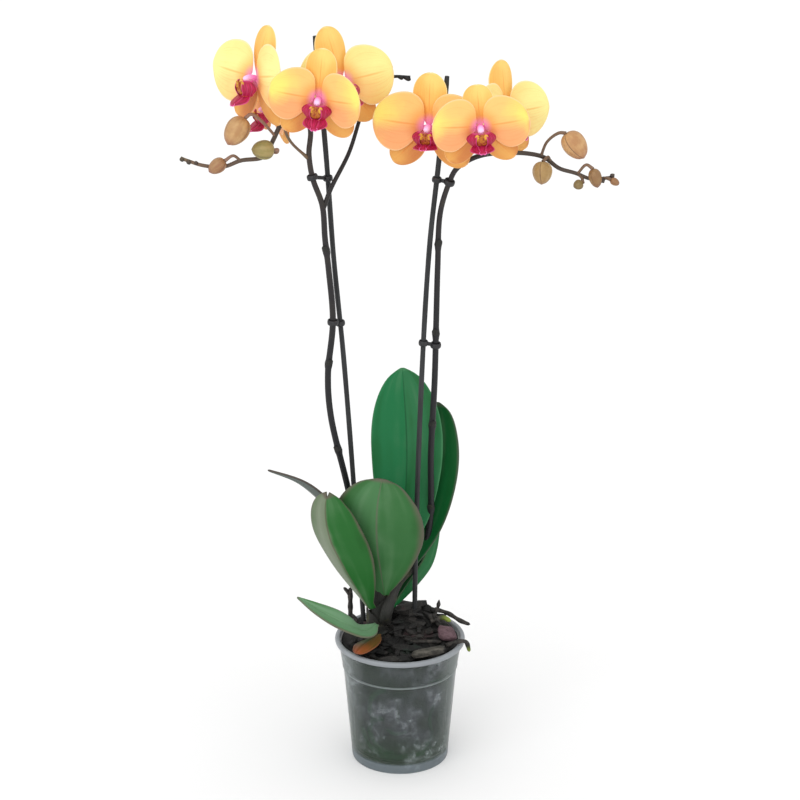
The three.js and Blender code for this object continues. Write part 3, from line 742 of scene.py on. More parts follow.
FOOT = Line([(-14, 2, 132), (-12, -4, 146), (-4, 12, 166), (10, 25, 179)])
crown_bm = bmesh.new()
for start, end, facing, radius, flare in (
    (0.02, 0.42, (0.5, -1, 0), 9.6, 1.6),
    (0.1, 0.6, (-1, -0.4, 0), 8.8, 2.0),
    (0.25, 0.8, (1, -0.5, 0), 8.2, 2.2),
    (0.4, 0.97, (-0.6, -1, 0), 7.4, 2.0),
):
    spread(crown_bm, sheath(CROWN, start, end, facing, radius, flare), 12, 18)
spread(crown_bm, sheath(FOOT, 0.05, 0.98, (0.5, -1, 0.1), 5.2, 0.2), 14, 16)
sheaths = set_down(crown_bm, "crown_sheaths", [dry], ["crown"])
thicken(sheaths, 0.8)

core_bm = bmesh.new()
grow(core_bm, CROWN, lambda share: (8.2 - 2.7 * share) * MM, 14, 20)
set_solid(core_bm, "crown_core", [rooty], ["crown"])


# ------------------------------------------------------------
# The leaves: thick, leathery and strap-shaped, folded along a sunken midrib. They are green
# above, greyer below, and many are flushed purple-brown along the margin and the midrib.


def outline(s, widest, base, tip, point=0.5):
    """Half of a leaf's or petal's breadth at a share of its length, from 0 to 1."""
    if s < widest:
        return max(base, math.sin((math.pi / 2) * (s / widest)) ** 0.85)
    return max(tip, max(0.0, 1 - ((s - widest) / (1 - widest)) ** 2) ** point)


# Each leaf's midrib, which way it faces, half its breadth, where it is widest, how steeply it is
# folded, how bluntly it ends, and for some its breadth at the foot or the notch in its tip.
LEAVES = {
    "leaf_tall": {
        "midrib": [
            (-15, 14, 172), (-6, 20, 196), (3, 29, 228), (6, 38, 271),
            (6, 44, 299), (4, 52, 334), (2, 58, 361),
        ],
        "faces": (0.05, -0.95, 0.35),
        "half": 33.5, "widest": 0.66, "fold": 10, "point": 0.56,
    },
    "leaf_back": {
        "midrib": [
            (-8, 17, 160), (4, 25, 180), (20, 38, 215), (29, 48, 258), (32, 57, 299), (35, 63, 326),
        ],
        "faces": (-0.25, -0.9, 0.3),
        "half": 27, "widest": 0.7, "fold": 14, "point": 0.5,
    },
    "leaf_right": {
        "midrib": [
            (-8, 14, 140), (4, 24, 147), (18, 33, 159), (29, 41, 172), (34, 46, 187), (37, 50, 209),
        ],
        "faces": (-0.75, -0.15, 0.62),
        "half": 17, "widest": 0.55, "fold": 62, "point": 0.5,
    },
    "leaf_front": {
        "midrib": [
            (-14, 0, 160), (-17, -9, 186), (-20, -18, 212),
            (-21, -25, 237), (-20, -28, 262), (-16, -27, 286),
        ],
        "faces": (0.05, 0.86, 0.5),
        "half": 43, "widest": 0.56, "fold": 8, "point": 0.5, "foot": 0.1,
    },
    "leaf_folded": {
        "midrib": [
            (-27, -4, 148), (-37, -16, 171), (-50, -28, 201),
            (-62, -36, 232), (-66, -37, 260), (-64, -33, 276),
        ],
        "faces": (0.42, 0.82, 0.3),
        "half": 31, "widest": 0.62, "fold": 30, "point": 0.5, "notch": 0.03,
    },
    "leaf_side": {
        "midrib": [
            (-30, 13, 160), (-46, 24, 204), (-64, 32, 231),
            (-80, 35, 248), (-93, 35, 258), (-121, 32, 271),
        ],
        "faces": (0.3, 0.46, 0.84),
        "half": 21, "widest": 0.5, "fold": 6, "point": 1,
    },
    "leaf_low": {
        "midrib": [(-21, -5, 133), (-33, -30, 138), (-49, -43, 151), (-73, -50, 168), (-92, -52, 182)],
        "faces": (0.1, -0.3, 0.9),
        "half": 13.5, "widest": 0.42, "fold": 8, "point": 1,
    },
    "leaf_withered": {
        "midrib": [(-19, -6, 124), (-26, -24, 127), (-34, -40, 128), (-40, -49, 125)],
        "faces": (-0.3, -0.5, 0.8),
        "half": 10.5, "widest": 0.6, "fold": -14, "point": 0.5,
    },
}


def leaf_shape(leaf):
    """A blade along its midrib: it faces one way, folds up by an angle, and may have a notch."""
    line = Line(leaf["midrib"])
    up = Vector(leaf["faces"]).normalized()
    fold = math.radians(leaf["fold"])

    def shape(s, t):
        heading = line.heading(s)
        across = heading.cross(up).normalized()
        rise = across.cross(heading).normalized()
        breadth = outline(s, leaf["widest"], leaf.get("foot", 0.2), 0.04, leaf["point"])
        reach = leaf["half"] * breadth * MM
        soft = math.sqrt(t * t + 0.012) - math.sqrt(0.012)
        wave = 0.018 * math.sin(9.0 * s + 2.5 * t) * abs(t) * reach
        lift = soft * reach * math.sin(fold) + wave - 0.00035 * math.exp(-((t / 0.06) ** 2))
        notched = s * (1 - leaf.get("notch", 0.0) * math.exp(-((t / 0.5) ** 2)) * s**4)
        return line.at(notched) + across * (t * reach * math.cos(fold)) + rise * lift

    return shape


def leaf_skin(name, left, right, edge, rib_stain_and_groove_shade, edge_width=0.12, tip=None):
    """A leaf's skin: a colour for each half, with painted light and shade where the two differ,
    broad soft streaks, a stained margin and a coloured midrib, and for a dying leaf another colour
    towards its tip."""
    finish = Finish(name, Specular_IOR_Level=0.2)
    along, across = finish.sheet()
    spot = finish.place()
    streak = finish.streaks(along * 1.3, across * 1.9, 2.0, 0.4)
    veins = finish.streaks(along * 2.2, across * 34.0, 3.0, 0.6)
    cloud = finish.noise(spot, 26.0, 3.0, 0.5)
    fleck = finish.noise(spot, 700.0, 2.0, 0.5)
    # The colours of the two halves: where they differ, painted light on one half and painted shade on the
    # other.
    colour = finish.mix(left, right, (across + (cloud - 0.5) * 0.3).between(-0.1, 0.1))
    if tip:
        colour = finish.mix(colour, tip, (along + (cloud - 0.5) * 0.8).between(0.5, 1.0))
    darker = finish.mix(colour, (0.45, 0.66, 0.40), 1.0, "MULTIPLY")
    lighter = finish.mix(colour, (0.75, 1.0, 0.7), 0.05)
    band = streak * 0.75 + cloud * 0.25
    out = abs(across).highest(along.between(0.86, 1.0))
    margin = (out + (cloud - 0.5) * 0.14).between(1.0 - edge_width, 1.0)
    middle = (1.0 - abs(across)).between(0.965, 0.995)
    colour = finish.coats(
        darker,
        (colour, band.between(0.28, 0.5)),
        (lighter, band.between(0.5, 0.68)),
        (darker, (1.0 - veins).between(0.55, 0.8) * 0.1),
        (edge, margin * 0.8),
        # The midrib line: a brown stain on the undersides, and on the upper sides a dark green that is
        # painted shade in the groove.
        (rib_stain_and_groove_shade, middle * 0.7),
    )
    finish.colour(colour)
    finish.roughness(0.4 + veins * 0.1 + fleck * 0.06)
    finish.bump(veins * 0.12 + fleck * 0.2 - middle * 0.6, 0.0004, 0.3)
    return finish


STAIN = (0.085, 0.06, 0.05)
DEEP_GREEN = ((0.01, 0.11, 0.03), (0.02, 0.13, 0.04), STAIN, (0.03, 0.07, 0.02))
# For each leaf, what leaf_skin is told of the side that faces the way the leaf does, and of the
# other side. Where a side's two half colours differ, they paint light and sheen on one half and
# shade on the other.
# The dark green midrib colours of the upper sides are painted shade in the groove; the brown ones are
# stains.
LEAF_SKINS = {
    "leaf_tall": (
        ((0.010, 0.160, 0.052), (0.020, 0.155, 0.055), (0.05, 0.20, 0.08), (0.004, 0.07, 0.02), 0.05),
        ((0.07, 0.17, 0.08), (0.08, 0.18, 0.09), STAIN, (0.08, 0.06, 0.045)),
    ),
    "leaf_back": (
        ((0.002, 0.080, 0.016), (0.003, 0.092, 0.020), (0.06, 0.08, 0.05), (0.002, 0.05, 0.01), 0.1),
        ((0.06, 0.15, 0.07), (0.07, 0.16, 0.08), STAIN, (0.08, 0.06, 0.045)),
    ),
    "leaf_right": (
        ((0.001, 0.080, 0.016), (0.001, 0.080, 0.016), (0.07, 0.13, 0.06), (0.002, 0.04, 0.01), 0.05),
        ((0.001, 0.075, 0.016), (0.006, 0.12, 0.03), (0.09, 0.15, 0.07), (0.05, 0.05, 0.03), 0.06),
    ),
    "leaf_front": (
        DEEP_GREEN,
        ((0.030, 0.125, 0.034), (0.055, 0.165, 0.060), (0.11, 0.085, 0.07), (0.11, 0.12, 0.08), 0.2),
    ),
    "leaf_folded": (
        DEEP_GREEN,
        ((0.014, 0.110, 0.018), (0.155, 0.195, 0.125), (0.10, 0.075, 0.06), (0.10, 0.07, 0.05), 0.12),
    ),
    "leaf_side": (
        ((0.07, 0.09, 0.08), (0.10, 0.11, 0.10), STAIN, (0.09, 0.10, 0.08)),
        ((0.050, 0.070, 0.060), (0.075, 0.095, 0.085), (0.05, 0.045, 0.04), (0.05, 0.06, 0.05)),
    ),
    "leaf_low": (
        ((0.14, 0.29, 0.15), (0.16, 0.31, 0.17), (0.12, 0.085, 0.07), (0.11, 0.22, 0.10), 0.14),
        ((0.08, 0.17, 0.09), (0.11, 0.19, 0.12), (0.08, 0.07, 0.05), (0.07, 0.08, 0.05), 0.1),
    ),
    "leaf_withered": (
        (
            (0.15, 0.08, 0.018), (0.055, 0.085, 0.022), (0.20, 0.07, 0.03), (0.14, 0.07, 0.02),
            0.2, (0.30, 0.055, 0.016),
        ),
        ((0.10, 0.07, 0.02), (0.16, 0.07, 0.02), STAIN, (0.1, 0.06, 0.02), 0.4, (0.2, 0.05, 0.02)),
    ),
}
for node, leaf in LEAVES.items():
    withered = node == "leaf_withered"
    leaf_bm = bmesh.new()
    spread(leaf_bm, leaf_shape(leaf), 34, 20)
    bmesh.ops.reverse_faces(leaf_bm, faces=leaf_bm.faces)
    upper, under = LEAF_SKINS[node]
    skins = [leaf_skin(node[5:] + "_upper", *upper), leaf_skin(node[5:] + "_under", *under)]
    blade = set_down(leaf_bm, "blade" + node[4:], skins, [node])
    skin = thicken(blade, 1.2 if withered else 1.9)
    skin.material_offset = 1


# ------------------------------------------------------------
# The stakes: two dark stained canes pushed down into the bark, a little bent, each cut off flat
# at its top. The flower spikes are trained up them.

STAKE_RADIUS = 2.3
STAKE_LEFT = Line([
    (-28, 17, 20), (-35, 16, 148), (-50, 13, 384), (-58, 11, 478), (-64, 10, 575), (-72, 8, 675),
])
STAKE_RIGHT = Line([
    (14, 20, 20), (14, 16, 178), (20, 9, 385), (26, 5, 494), (33, 2, 564), (40, 1, 642),
])

cane = Finish("stained_cane", Specular_IOR_Level=0.35)
spot = cane.place()
drawn = cane.node("Mapping", (), {0: spot, "Scale": (900.0, 900.0, 16.0)})
fibre = cane.noise(drawn, 1.0, 3.0, 0.6)
stain = cane.noise(spot, 30.0, 3.0)
worn = (fibre * 0.6 + stain * 0.4).between(0.35, 0.65)
cane.colour(cane.mix((0.012, 0.013, 0.014), (0.030, 0.032, 0.034), worn))
cane.roughness(0.42 + fibre * 0.25)
cane.bump(fibre, 0.0003, 0.5)


def cane_radius(share):
    narrowed = 1.0 if 0.002 < share < 0.999 else 0.86
    return STAKE_RADIUS * MM * narrowed * (1 + 0.02 * math.sin(share * 60))


for side, line in (("left", STAKE_LEFT), ("right", STAKE_RIGHT)):
    stake_bm = bmesh.new()
    grow(stake_bm, line, cane_radius, 90, 14)
    set_solid(stake_bm, "cane_" + side, [cane], ["stake_" + side])


# ------------------------------------------------------------
# The flower spikes: smooth round stems, nearly black below and browner above, with a ringed node
# and a dry bract every hand's breadth. Pedicels leave them for the flowers and the buds.

SPIKE_RADIUS = 2.9
SPIKE_LEFT = Line([
    (-25, 18, 150), (-37, 21, 207), (-48, 18, 262), (-62, 8, 333), (-64, 5, 372), (-59, 0, 424),
    (-62, -2, 470), (-65, -3, 500), (-67, -4, 530), (-75, -4, 554), (-78, -3, 575), (-77, 0, 598),
    (-88, -2, 613), (-100, -7, 604), (-109, -9, 587), (-116, -11, 575), (-136, -13, 572),
    (-150, -14, 567), (-168, -14, 568), (-186, -14, 574),
])
BRANCH_LEFT = Line([
    (-66.5, -4, 526), (-60, 0, 543), (-44, 16, 572), (-35, 22, 599), (-29, 26, 616),
    (-21, 29, 628), (-8, 30, 635), (9, 30, 635),
])
SPIKE_RIGHT = Line([
    (-12, -4, 146), (-4, 12, 166), (10, 25, 179), (23, 31, 197), (28, 29, 228), (28, 24, 288),
    (31, 16, 364), (32, 11, 420), (33, 8, 472), (35, 4, 522), (43, 0, 551), (48, -4, 562),
    (58, -9, 571), (72, -12, 577), (90, -10, 578), (109, -4, 576), (124, 2, 571), (137, 4, 561),
    (151, 3, 557), (165, 2, 552), (181, 1, 553.5),
])

# Each flower's own frame has its column at the origin and faces -Y. In degrees, yaw turns it to
# face +X, nod tips it down and lean turns its top towards +X; the dorsal sepal has a turn, a tilt
# back and a share of its length. Each petal tips forward by its cup, and the lip's tongue hangs by
# an angle; lip is the share of the flower's size that its lip has.
FLOWERS = [
    {
        "at": (-123.5, -4, 642), "yaw": -52, "nod": -6, "lean": -3, "size": 1.16,
        "dorsal": (6, 7, 0.88), "cups": (14, 11), "tongue": 38, "lip": 0.92,
    },
    {
        "at": (-115, 38, 607), "yaw": -58, "nod": 8, "lean": 8, "size": 0.88,
        "dorsal": (0, 7, 1), "cups": (11, 11), "tongue": 30, "lip": 1,
    },
    {
        "at": (-68, -46, 632.6), "yaw": -5, "nod": 4, "lean": 5, "size": 1,
        "dorsal": (0, 7, 0.95), "cups": (10, 29), "tongue": 33, "lip": 1,
    },
    {
        "at": (-49, -4, 638), "yaw": 32, "nod": -8, "lean": 0, "size": 1.13,
        "dorsal": (-8, 7, 0.97), "cups": (11, 11), "tongue": 25, "lip": 0.92,
    },
    {
        "at": (24, -14, 602), "yaw": -12, "nod": 2, "lean": 0, "size": 1.13,
        "dorsal": (0, 7, 0.9), "cups": (8, 11), "tongue": 8, "lip": 0.9,
    },
    {
        "at": (67, -48, 609.6), "yaw": 2, "nod": 5, "lean": -4, "size": 0.99,
        "dorsal": (0, 34, 0.82), "cups": (14, 8), "tongue": 16, "lip": 1,
    },
    {
        "at": (92, 20, 605), "yaw": 41, "nod": -4, "lean": 5, "size": 1.06,
        "dorsal": (0, 7, 0.99), "cups": (11, 11), "tongue": 25, "lip": 1,
    },
]


def flower_frame(flower):
    """The matrix from a flower's own frame, in metres, to the plant's."""
    turn = Matrix.Rotation(math.radians(flower["yaw"]), 4, "Z")
    turn @= Matrix.Rotation(math.radians(flower["nod"]), 4, "X")
    turn @= Matrix.Rotation(math.radians(flower["lean"]), 4, "Y")
    return Matrix.Translation(Vector(flower["at"]) * MM) @ turn @ Matrix.Scale(flower["size"], 4)


def flower_back(number):
    """The point, in millimetres, where a stalk meets the back of its flower."""
    behind = flower_frame(FLOWERS[number - 1]) @ (Vector((0, 6.0, -1)) * MM)
    return tuple(behind / MM)


BUDS = {
    "bud_left_1": {"base": (-131, -18, 610), "tip": (-146, -22, 588), "girth": 10.5, "green": 0.1},
    "bud_left_2": {"base": (-107, -17, 582), "tip": (-126, -22, 584), "girth": 8.5, "green": 0.85},
    "bud_left_3": {"base": (-149, -17, 573), "tip": (-163, -17, 563), "girth": 6.5, "green": -0.25},
    "bud_right_1": {"base": (142, -1, 593), "tip": (158, -1, 571), "girth": 10.5, "green": 0.0},
    "bud_right_2": {"base": (122.5, -4, 569), "tip": (121.5, -6, 549), "girth": 8.7, "green": 0.4},
    "bud_right_3": {"base": (165.5, -4, 562.5), "tip": (170, -5, 546), "girth": 5.8, "green": 0.1},
    "bud_right_4": {"base": (157, -5, 550.5), "tip": (149, -6, 547), "girth": 4.4, "green": 0.6},
    "bud_right_5": {"base": (181, -4, 553), "tip": (188.5, -3, 548.5), "girth": 3.4, "green": -0.1},
}

# A stalk's route ends at the flower or bud that it carries; the number is its first tone, from
# 0, nearly black, to 1, pinkish tan.
PEDICELS = {
    "left": [
        ([(-92, -4, 611), (-103, -7, 622), (-113, -4, 634), flower_back(1)], 0.5),
        ([(-88, -2, 613), (-86, 18, 618), (-97, 38, 613), flower_back(2)], 0.5),
        ([(-79, -4, 572), (-93, -8, 587), (-97, -18, 602), (-86, -32, 620), flower_back(3)], 0.75),
        ([(-33, 23, 605), (-44, 18, 624), (-50, 8, 634), flower_back(4)], 0.5),
        ([(-106, -8.5, 592), (-118, -13, 607), (-126, -16, 613), BUDS["bud_left_1"]["base"]], 0.9),
        ([(-112.5, -10, 580), (-105, -13, 579), (-104, -15, 582), BUDS["bud_left_2"]["base"]], 0.9),
        ([(-136, -13, 572), (-142, -16, 577), BUDS["bud_left_3"]["base"]], 0.8),
    ],
    "right": [
        ([(48, -4, 563), (44, -8, 575), (34, -8, 590), flower_back(5)], 0.5),
        ([(74, -12, 577), (76, -28, 588), (72, -40, 601), flower_back(6)], 0.5),
        ([(95, -9, 577.5), (92, 12, 579), (87, 25, 587), (84, 28, 599), flower_back(7)], 0.5),
        ([(121, 1, 572.5), (126, 1, 585), (136, 0, 593), BUDS["bud_right_1"]["base"]], 0.7),
        ([(129, 3, 568), (127, 0, 572), BUDS["bud_right_2"]["base"]], 0.7),
        ([(153, 3, 556.5), (160, 0, 565), BUDS["bud_right_3"]["base"]], 0.8),
        ([(153, 3, 556.3), (156.5, 0, 553.5), BUDS["bud_right_4"]["base"]], 0.7),
        ([(175, 1.5, 552.7), (178, -1.5, 553.4), BUDS["bud_right_5"]["base"]], 0.7),
    ],
}

stalky = Finish("spike_skin", Specular_IOR_Level=0.3)
spot = stalky.place()
tone = stalky.tone()
speckle = stalky.noise(spot, 520.0, 3.0, 0.6)
shade = stalky.noise(spot, 45.0, 3.0)
stalk_colour = stalky.ramp(
    tone + (shade - 0.5) * 0.25,
    (0.0, (0.012, 0.012, 0.014)),
    (0.35, (0.024, 0.020, 0.021)),
    (0.6, (0.075, 0.055, 0.042)),
    (0.8, (0.17, 0.105, 0.065)),
    (1.0, (0.30, 0.17, 0.12)),
)
stalk_colour = stalky.mix(stalk_colour, (0.11, 0.10, 0.045), shade.between(0.5, 0.72) * tone * 0.6)
stalky.colour(stalky.mix(stalk_colour, (0.10, 0.085, 0.075), speckle.between(0.64, 0.74) * 0.3))
stalky.roughness(0.36 + speckle * 0.2)
stalky.bump(speckle, 0.0003, 0.4)


def spike_radius(line, node_heights):
    """Tapers along the spike, and swells at each node."""
    nodes = [line.at_height(height) for height in node_heights]

    def at(share):
        away = [(share - node) * line.reaches[-1] / (3.2 * MM) for node in nodes]
        swell = sum(0.9 * math.exp(-(far**2)) for far in away)
        return (SPIKE_RADIUS - 1.4 * share**3 + swell) * MM

    return at


def bract(bm, line, share, facing, radius, length):
    """A small dry scale that clasps the stem at a node and comes to a point."""
    heading, outward, aside = stance_round(line, share, facing)
    foot = line.at(share)

    def shape(s, t):
        angle = t * (1.9 - 1.6 * s)
        away = (radius + 0.35 + 0.9 * s**2) * MM
        around = outward * math.cos(angle) + aside * math.sin(angle)
        return foot + around * away + heading * (s * length * MM)

    spread(bm, shape, 8, 8)


NODES = {
    "left": (SPIKE_LEFT, (224, 298, 382, 488), (0.4, -1, 0)),
    "right": (SPIKE_RIGHT, (233, 318, 408, 491), (-0.3, -1, 0)),
}
for side, (line, heights, facing) in NODES.items():
    spike_bm = bmesh.new()
    upper = 0.42 if side == "left" else 0.5
    grow(
        spike_bm,
        line,
        spike_radius(line, heights),
        190,
        14,
        lambda share: max(0.0, (share - upper) / 0.45) * 0.62,
    )
    if side == "left":
        grow(spike_bm, BRANCH_LEFT, lambda share: (2.1 - 0.8 * share) * MM, 50, 12, lambda share: 0.12)
        for route, radius, tip in (
            ([(-8, 30, 631.5), (-8.4, 29, 636), (-8.8, 28, 639)], 2.0, 0.3),
            ([(-1, 30, 635.6), (1, 29.5, 634.4), (3, 29, 634)], 1.7, 0.4),
            ([(4, 30, 635), (7, 29, 633.4), (9.4, 28, 633.6)], 1.8, 0.4),
        ):
            grow(spike_bm, Line(route), blunt(radius, tip), 8, 10)
    for route, first_tone in PEDICELS[side]:
        grow(
            spike_bm,
            Line(route),
            lambda share: (1.25 + 0.45 * share**3 + 0.5 * math.exp(-((share / 0.06) ** 2))) * MM,
            26,
            12,
            lambda share: first_tone + 0.15 * share,
        )
    set_solid(spike_bm, "flower_stem_" + side, [stalky], ["spike_" + side])
    scale_bm = bmesh.new()
    for i, height in enumerate(heights):
        turned_to = Vector(facing)
        turned_to.x *= (-1) ** i
        bract(scale_bm, line, line.at_height(height), turned_to, 3.1, 6)
    scales = set_down(scale_bm, "bracts_" + side, [dry], ["spike_" + side])
    thicken(scales, 0.5)


# ------------------------------------------------------------
# The clips: four small dark moulded clips. Each one has a collar round the stake, a collar round
# the spike and a short bar between the two.

moulded = Finish("moulded_clip", Specular_IOR_Level=0.45)
spot = moulded.place()
mould = moulded.noise(spot, 500.0, 3.0)
moulded.colour(moulded.mix((0.010, 0.010, 0.012), (0.024, 0.024, 0.027), mould.between(0.35, 0.7)))
moulded.roughness(0.4 + mould * 0.2)
moulded.bump(mould, 0.0002, 0.4)


def collar(bm, line, share, radius):
    """A round-edged ring about a stem, spun from a small circle."""
    heading = line.heading(share)
    turn = heading.to_track_quat("Z", "X").to_matrix().to_4x4()
    place = Matrix.Translation(line.at(share)) @ turn
    lift = Matrix.Translation(((radius + 0.75) * MM, 0, 0)) @ Matrix.Rotation(math.pi / 2, 4, "X")
    before = set(bm.verts)
    made = bmesh.ops.create_circle(bm, segments=10, radius=1.0)["verts"]
    for v in made:
        v.co = lift @ Vector((v.co.x * 0.8 * MM, v.co.y * 2.4 * MM, 0))
    edges = list({e for v in made for e in v.link_edges})
    spin_round(bm, made + edges, 28)
    for v in [v for v in bm.verts if v not in before]:
        v.co = place @ v.co


# What each clip holds, and at which height: a stake first, then a spike.
CLIPS = {
    "clip_left_upper": ((STAKE_LEFT, 549.5), (SPIKE_LEFT, 554)),
    "clip_left_lower": ((STAKE_LEFT, 418), (SPIKE_LEFT, 422.5)),
    "clip_right_upper": ((STAKE_RIGHT, 551), (SPIKE_RIGHT, 549.5)),
    "clip_right_lower": ((STAKE_RIGHT, 400), (SPIKE_RIGHT, 396.5)),
}
for node, holds in CLIPS.items():
    clip_bm = bmesh.new()
    ends = []
    for (line, height), radius in zip(holds, (STAKE_RADIUS, SPIKE_RADIUS)):
        share = line.at_height(height)
        collar(clip_bm, line, share, radius + 0.5)
        ends.append(line.at(share))
    middle = (ends[0] + ends[1]) / 2
    reach = ends[1] - ends[0]
    gap = max(reach.length - 7.2 * MM, 1.2 * MM)
    bar = bmesh.ops.create_cube(clip_bm, size=1.0)["verts"]
    for v in bar:
        v.co = Vector((v.co.x * gap, v.co.y * 2.6 * MM, v.co.z * 3.2 * MM))
    bar_edges = list({e for v in bar for e in v.link_edges})
    set_to = Matrix.Translation(middle) @ reach.to_track_quat("X", "Z").to_matrix().to_4x4()
    bmesh.ops.transform(clip_bm, matrix=set_to, verts=bar)
    eased(clip_bm, bar_edges, 0.5 * MM, 2)
    bmesh.ops.remove_doubles(clip_bm, verts=clip_bm.verts, dist=0.00001)
    set_solid(clip_bm, "tie" + node[4:], [moulded], [node])


# ------------------------------------------------------------
# The buds: three thick sepals closed over each other, with a seam down each side and a blunt
# point. The big ones have coloured tan or olive, and the small ones are darker and browner.


def bud_skin(name, green, shade):
    """A bud's skin, from tan at green 0 to olive at 1; shade below 1 darkens it."""
    finish = Finish(name, Specular_IOR_Level=0.4, Coat_Weight=0.08, Coat_Roughness=0.35)
    along, across = finish.sheet()
    spot = finish.place()
    veins = finish.streaks(along * 1.4, across * 7.0, 3.0, 0.5)
    cloud = finish.noise(spot, 110.0, 3.0, 0.55)
    mixed = [
        tuple(shade * (tan * (1 - green) + leafy * green) for tan, leafy in zip(*pair))
        for pair in (
            ((0.42, 0.21, 0.085), (0.20, 0.19, 0.050)),
            ((0.54, 0.32, 0.14), (0.30, 0.24, 0.085)),
            ((0.28, 0.085, 0.065), (0.17, 0.14, 0.035)),
        )
    ]
    seam = finish.node("Math", {"operation": "PINGPONG"}, {0: across * 3.0 + 0.35 * along, 1: 1.0})
    seam = (1.0 - seam).between(0.93, 0.995)
    colour = finish.coats(
        mixed[0],
        (mixed[1], (cloud * 0.6 + veins * 0.4).between(0.38, 0.62)),
        (mixed[2], along.between(0.55, 0.98) * 0.65),
        ((0.13, 0.055, 0.035), seam * 0.7),
        ((0.16, 0.11, 0.045), (1.0 - along).between(0.9, 1.0) * 0.6),
    )
    finish.colour(colour)
    finish.roughness(0.42 + veins * 0.15)
    finish.bump(veins - seam * 1.2, 0.0005, 0.5)
    return finish


for node, bud in BUDS.items():
    bud_bm = bmesh.new()
    base = Vector(bud["base"]) * MM
    axis = Vector(bud["tip"]) * MM - base
    turn = axis.to_track_quat("Z", "X")

    def bud_shape(s, t):
        angle = math.pi * t
        down = math.pi * s
        seam = math.exp(-(((((angle / (2 * math.pi) * 3 + 0.35 * s / 2) % 1.0) - 0.5) / 0.09) ** 2))
        ridge = 1 - 0.055 * seam * math.sin(down)
        girth = bud["girth"] * math.sin(down) ** 0.92 * (1 + 0.14 * math.cos(down)) * ridge * 0.98 * MM
        reach = (1 - math.cos(down)) / 2
        reach += 0.035 * max(0.0, s - 0.93) / 0.07
        rise = axis.length * reach * 0.97
        return base + turn @ Vector((girth * math.cos(angle), girth * math.sin(angle), rise))

    spread(bud_bm, bud_shape, 22, 36)
    bmesh.ops.remove_doubles(bud_bm, verts=bud_bm.verts, dist=0.00002)
    shade = 1.05 if bud["girth"] > 8 else 0.62
    skin = bud_skin("skin_" + node, bud["green"], shade)
    set_solid(bud_bm, "closed_" + node, [skin], [node])

# The last buds of each spike are only swellings of its tip: start, end and girth.
TINY_BUDS = [
    ((-185.4, -14, 571.4), (-186, -15, 576), 2.3),
    ((-179.5, -14, 569), (-180.5, -16, 574), 2.3),
    ((-173.5, -14, 568.5), (-174, -16, 572.5), 1.8),
    ((173, 1.5, 553), (175.5, -2, 549.5), 2.4),
    ((181, 1, 553.6), (184.5, 0, 557), 2.2),
]
tips_bm = bmesh.new()
for start, end, girth in TINY_BUDS:
    grow(
        tips_bm,
        Line([start, end]),
        lambda share: girth * max(0.15, math.sin(math.pi * (0.1 + 0.88 * share))) * MM,
        12,
        12,
        lambda share: 0.35 + 0.3 * share,
    )
set_solid(tips_bm, "tiny_buds", [stalky], ["spike_left", "spike_right"])


# ------------------------------------------------------------
# The flowers: three narrow sepals behind, two broad petals in front of them, all waxy, apricot
# at the heart and yellow towards the rim, with fine veins and a pink flush by the column.


def tepal(angle, start, length, half, widest, cup, roundness, depth, up, ruffle, phase):
    """A sepal or petal that leaves the column at an angle from straight up, tips forward by its
    cup, curls back by its roundness and lies depth behind the column. For a petal, up is the
    side across it, 1 or -1, that points upwards and widens steeply; for a sepal it is 0."""
    lean = math.radians(angle)
    out = Vector((math.sin(lean), 0, math.cos(lean)))
    side = Vector((math.cos(lean), 0, -math.sin(lean))) * (up or 1)
    tip = math.radians(cup)

    def shape(s, t):
        s_even = 1 - (1 - s) ** 1.25
        reach = start + s_even * (length - start)
        if up and t > 0 and s_even < 0.4:
            breadth = half * max(0.12, math.sin(math.pi / 2 * s_even / 0.4) ** 0.3)
        else:
            breadth = half * outline(s_even, 0.4 if up and t > 0 else widest, 0.12, 0.03)
        forward = reach * math.sin(tip) - roundness * (t * breadth) ** 2
        forward += 0.9 * math.sin(math.pi * min(1.0, s_even * 1.1)) * math.exp(-((t / 0.35) ** 2))
        forward += ruffle * math.sin(phase + 5.0 * s + 3.0 * t) * abs(t) ** 2
        forward -= 0.0035 * max(0.0, reach - 0.62 * length) ** 2
        place = out * (reach * math.cos(tip)) + side * (t * breadth)
        place.y = depth - forward
        return place * MM

    return shape


def waxy(name, low, high, sun, rim, sun_size=1.0):
    """The skin of a petal or sepal: low and high colour its two halves, sun its outer middle
    as far as sun_size says, and rim its edge. It turns deeper, then pink, by the column."""
    # Emission Strength gives every petal and sepal skin a faint painted glow.
    finish = Finish(name, Specular_IOR_Level=0.25, Emission_Strength=0.08)
    along, across = finish.sheet()
    spot = finish.place()
    away = finish.tone()
    veins = finish.streaks(along * 1.2, across * 17.0, 4.0, 0.6)
    cloud = finish.noise(spot, 45.0, 3.0, 0.5)
    crystal = finish.noise(spot, 900.0, 2.0, 0.5)
    colour = finish.mix(low, high, (across + (cloud - 0.5) * 0.7).between(-0.4, 0.25))
    off_middle = abs(along - 0.85) * 1.15 + abs(across - 0.3) * 0.5 + (cloud - 0.5) * 0.9
    colour = finish.mix(colour, sun, (1.0 - off_middle * (1.0 / sun_size)).between(0.2, 0.95))
    deep = finish.mix(colour, (0.95, 0.62, 0.45), 1.0, "MULTIPLY")
    middle = (1.0 - abs(across)).between(0.95, 1.0) * (1.0 - along.between(0.45, 0.9))
    edge = abs(across).highest(along).between(0.92, 0.995)
    colour = finish.coats(
        colour,
        (deep, (1.0 - veins).between(0.5, 0.72) * 0.4),
        (deep, middle * 0.8),
        (rim, edge * 0.75),
        (deep, (1.0 - away.between(0.006, 0.02)) * 0.9),
        ((0.80, 0.24, 0.50), (1.0 - away.between(0.0035, 0.0115)) * 0.85),
    )
    finish.colour(colour, glows=True)
    finish.roughness(0.45 + crystal * 0.15)
    finish.bump(veins * 1.4 + crystal * 0.35 - middle * 0.5, 0.0006, 0.35)
    return finish


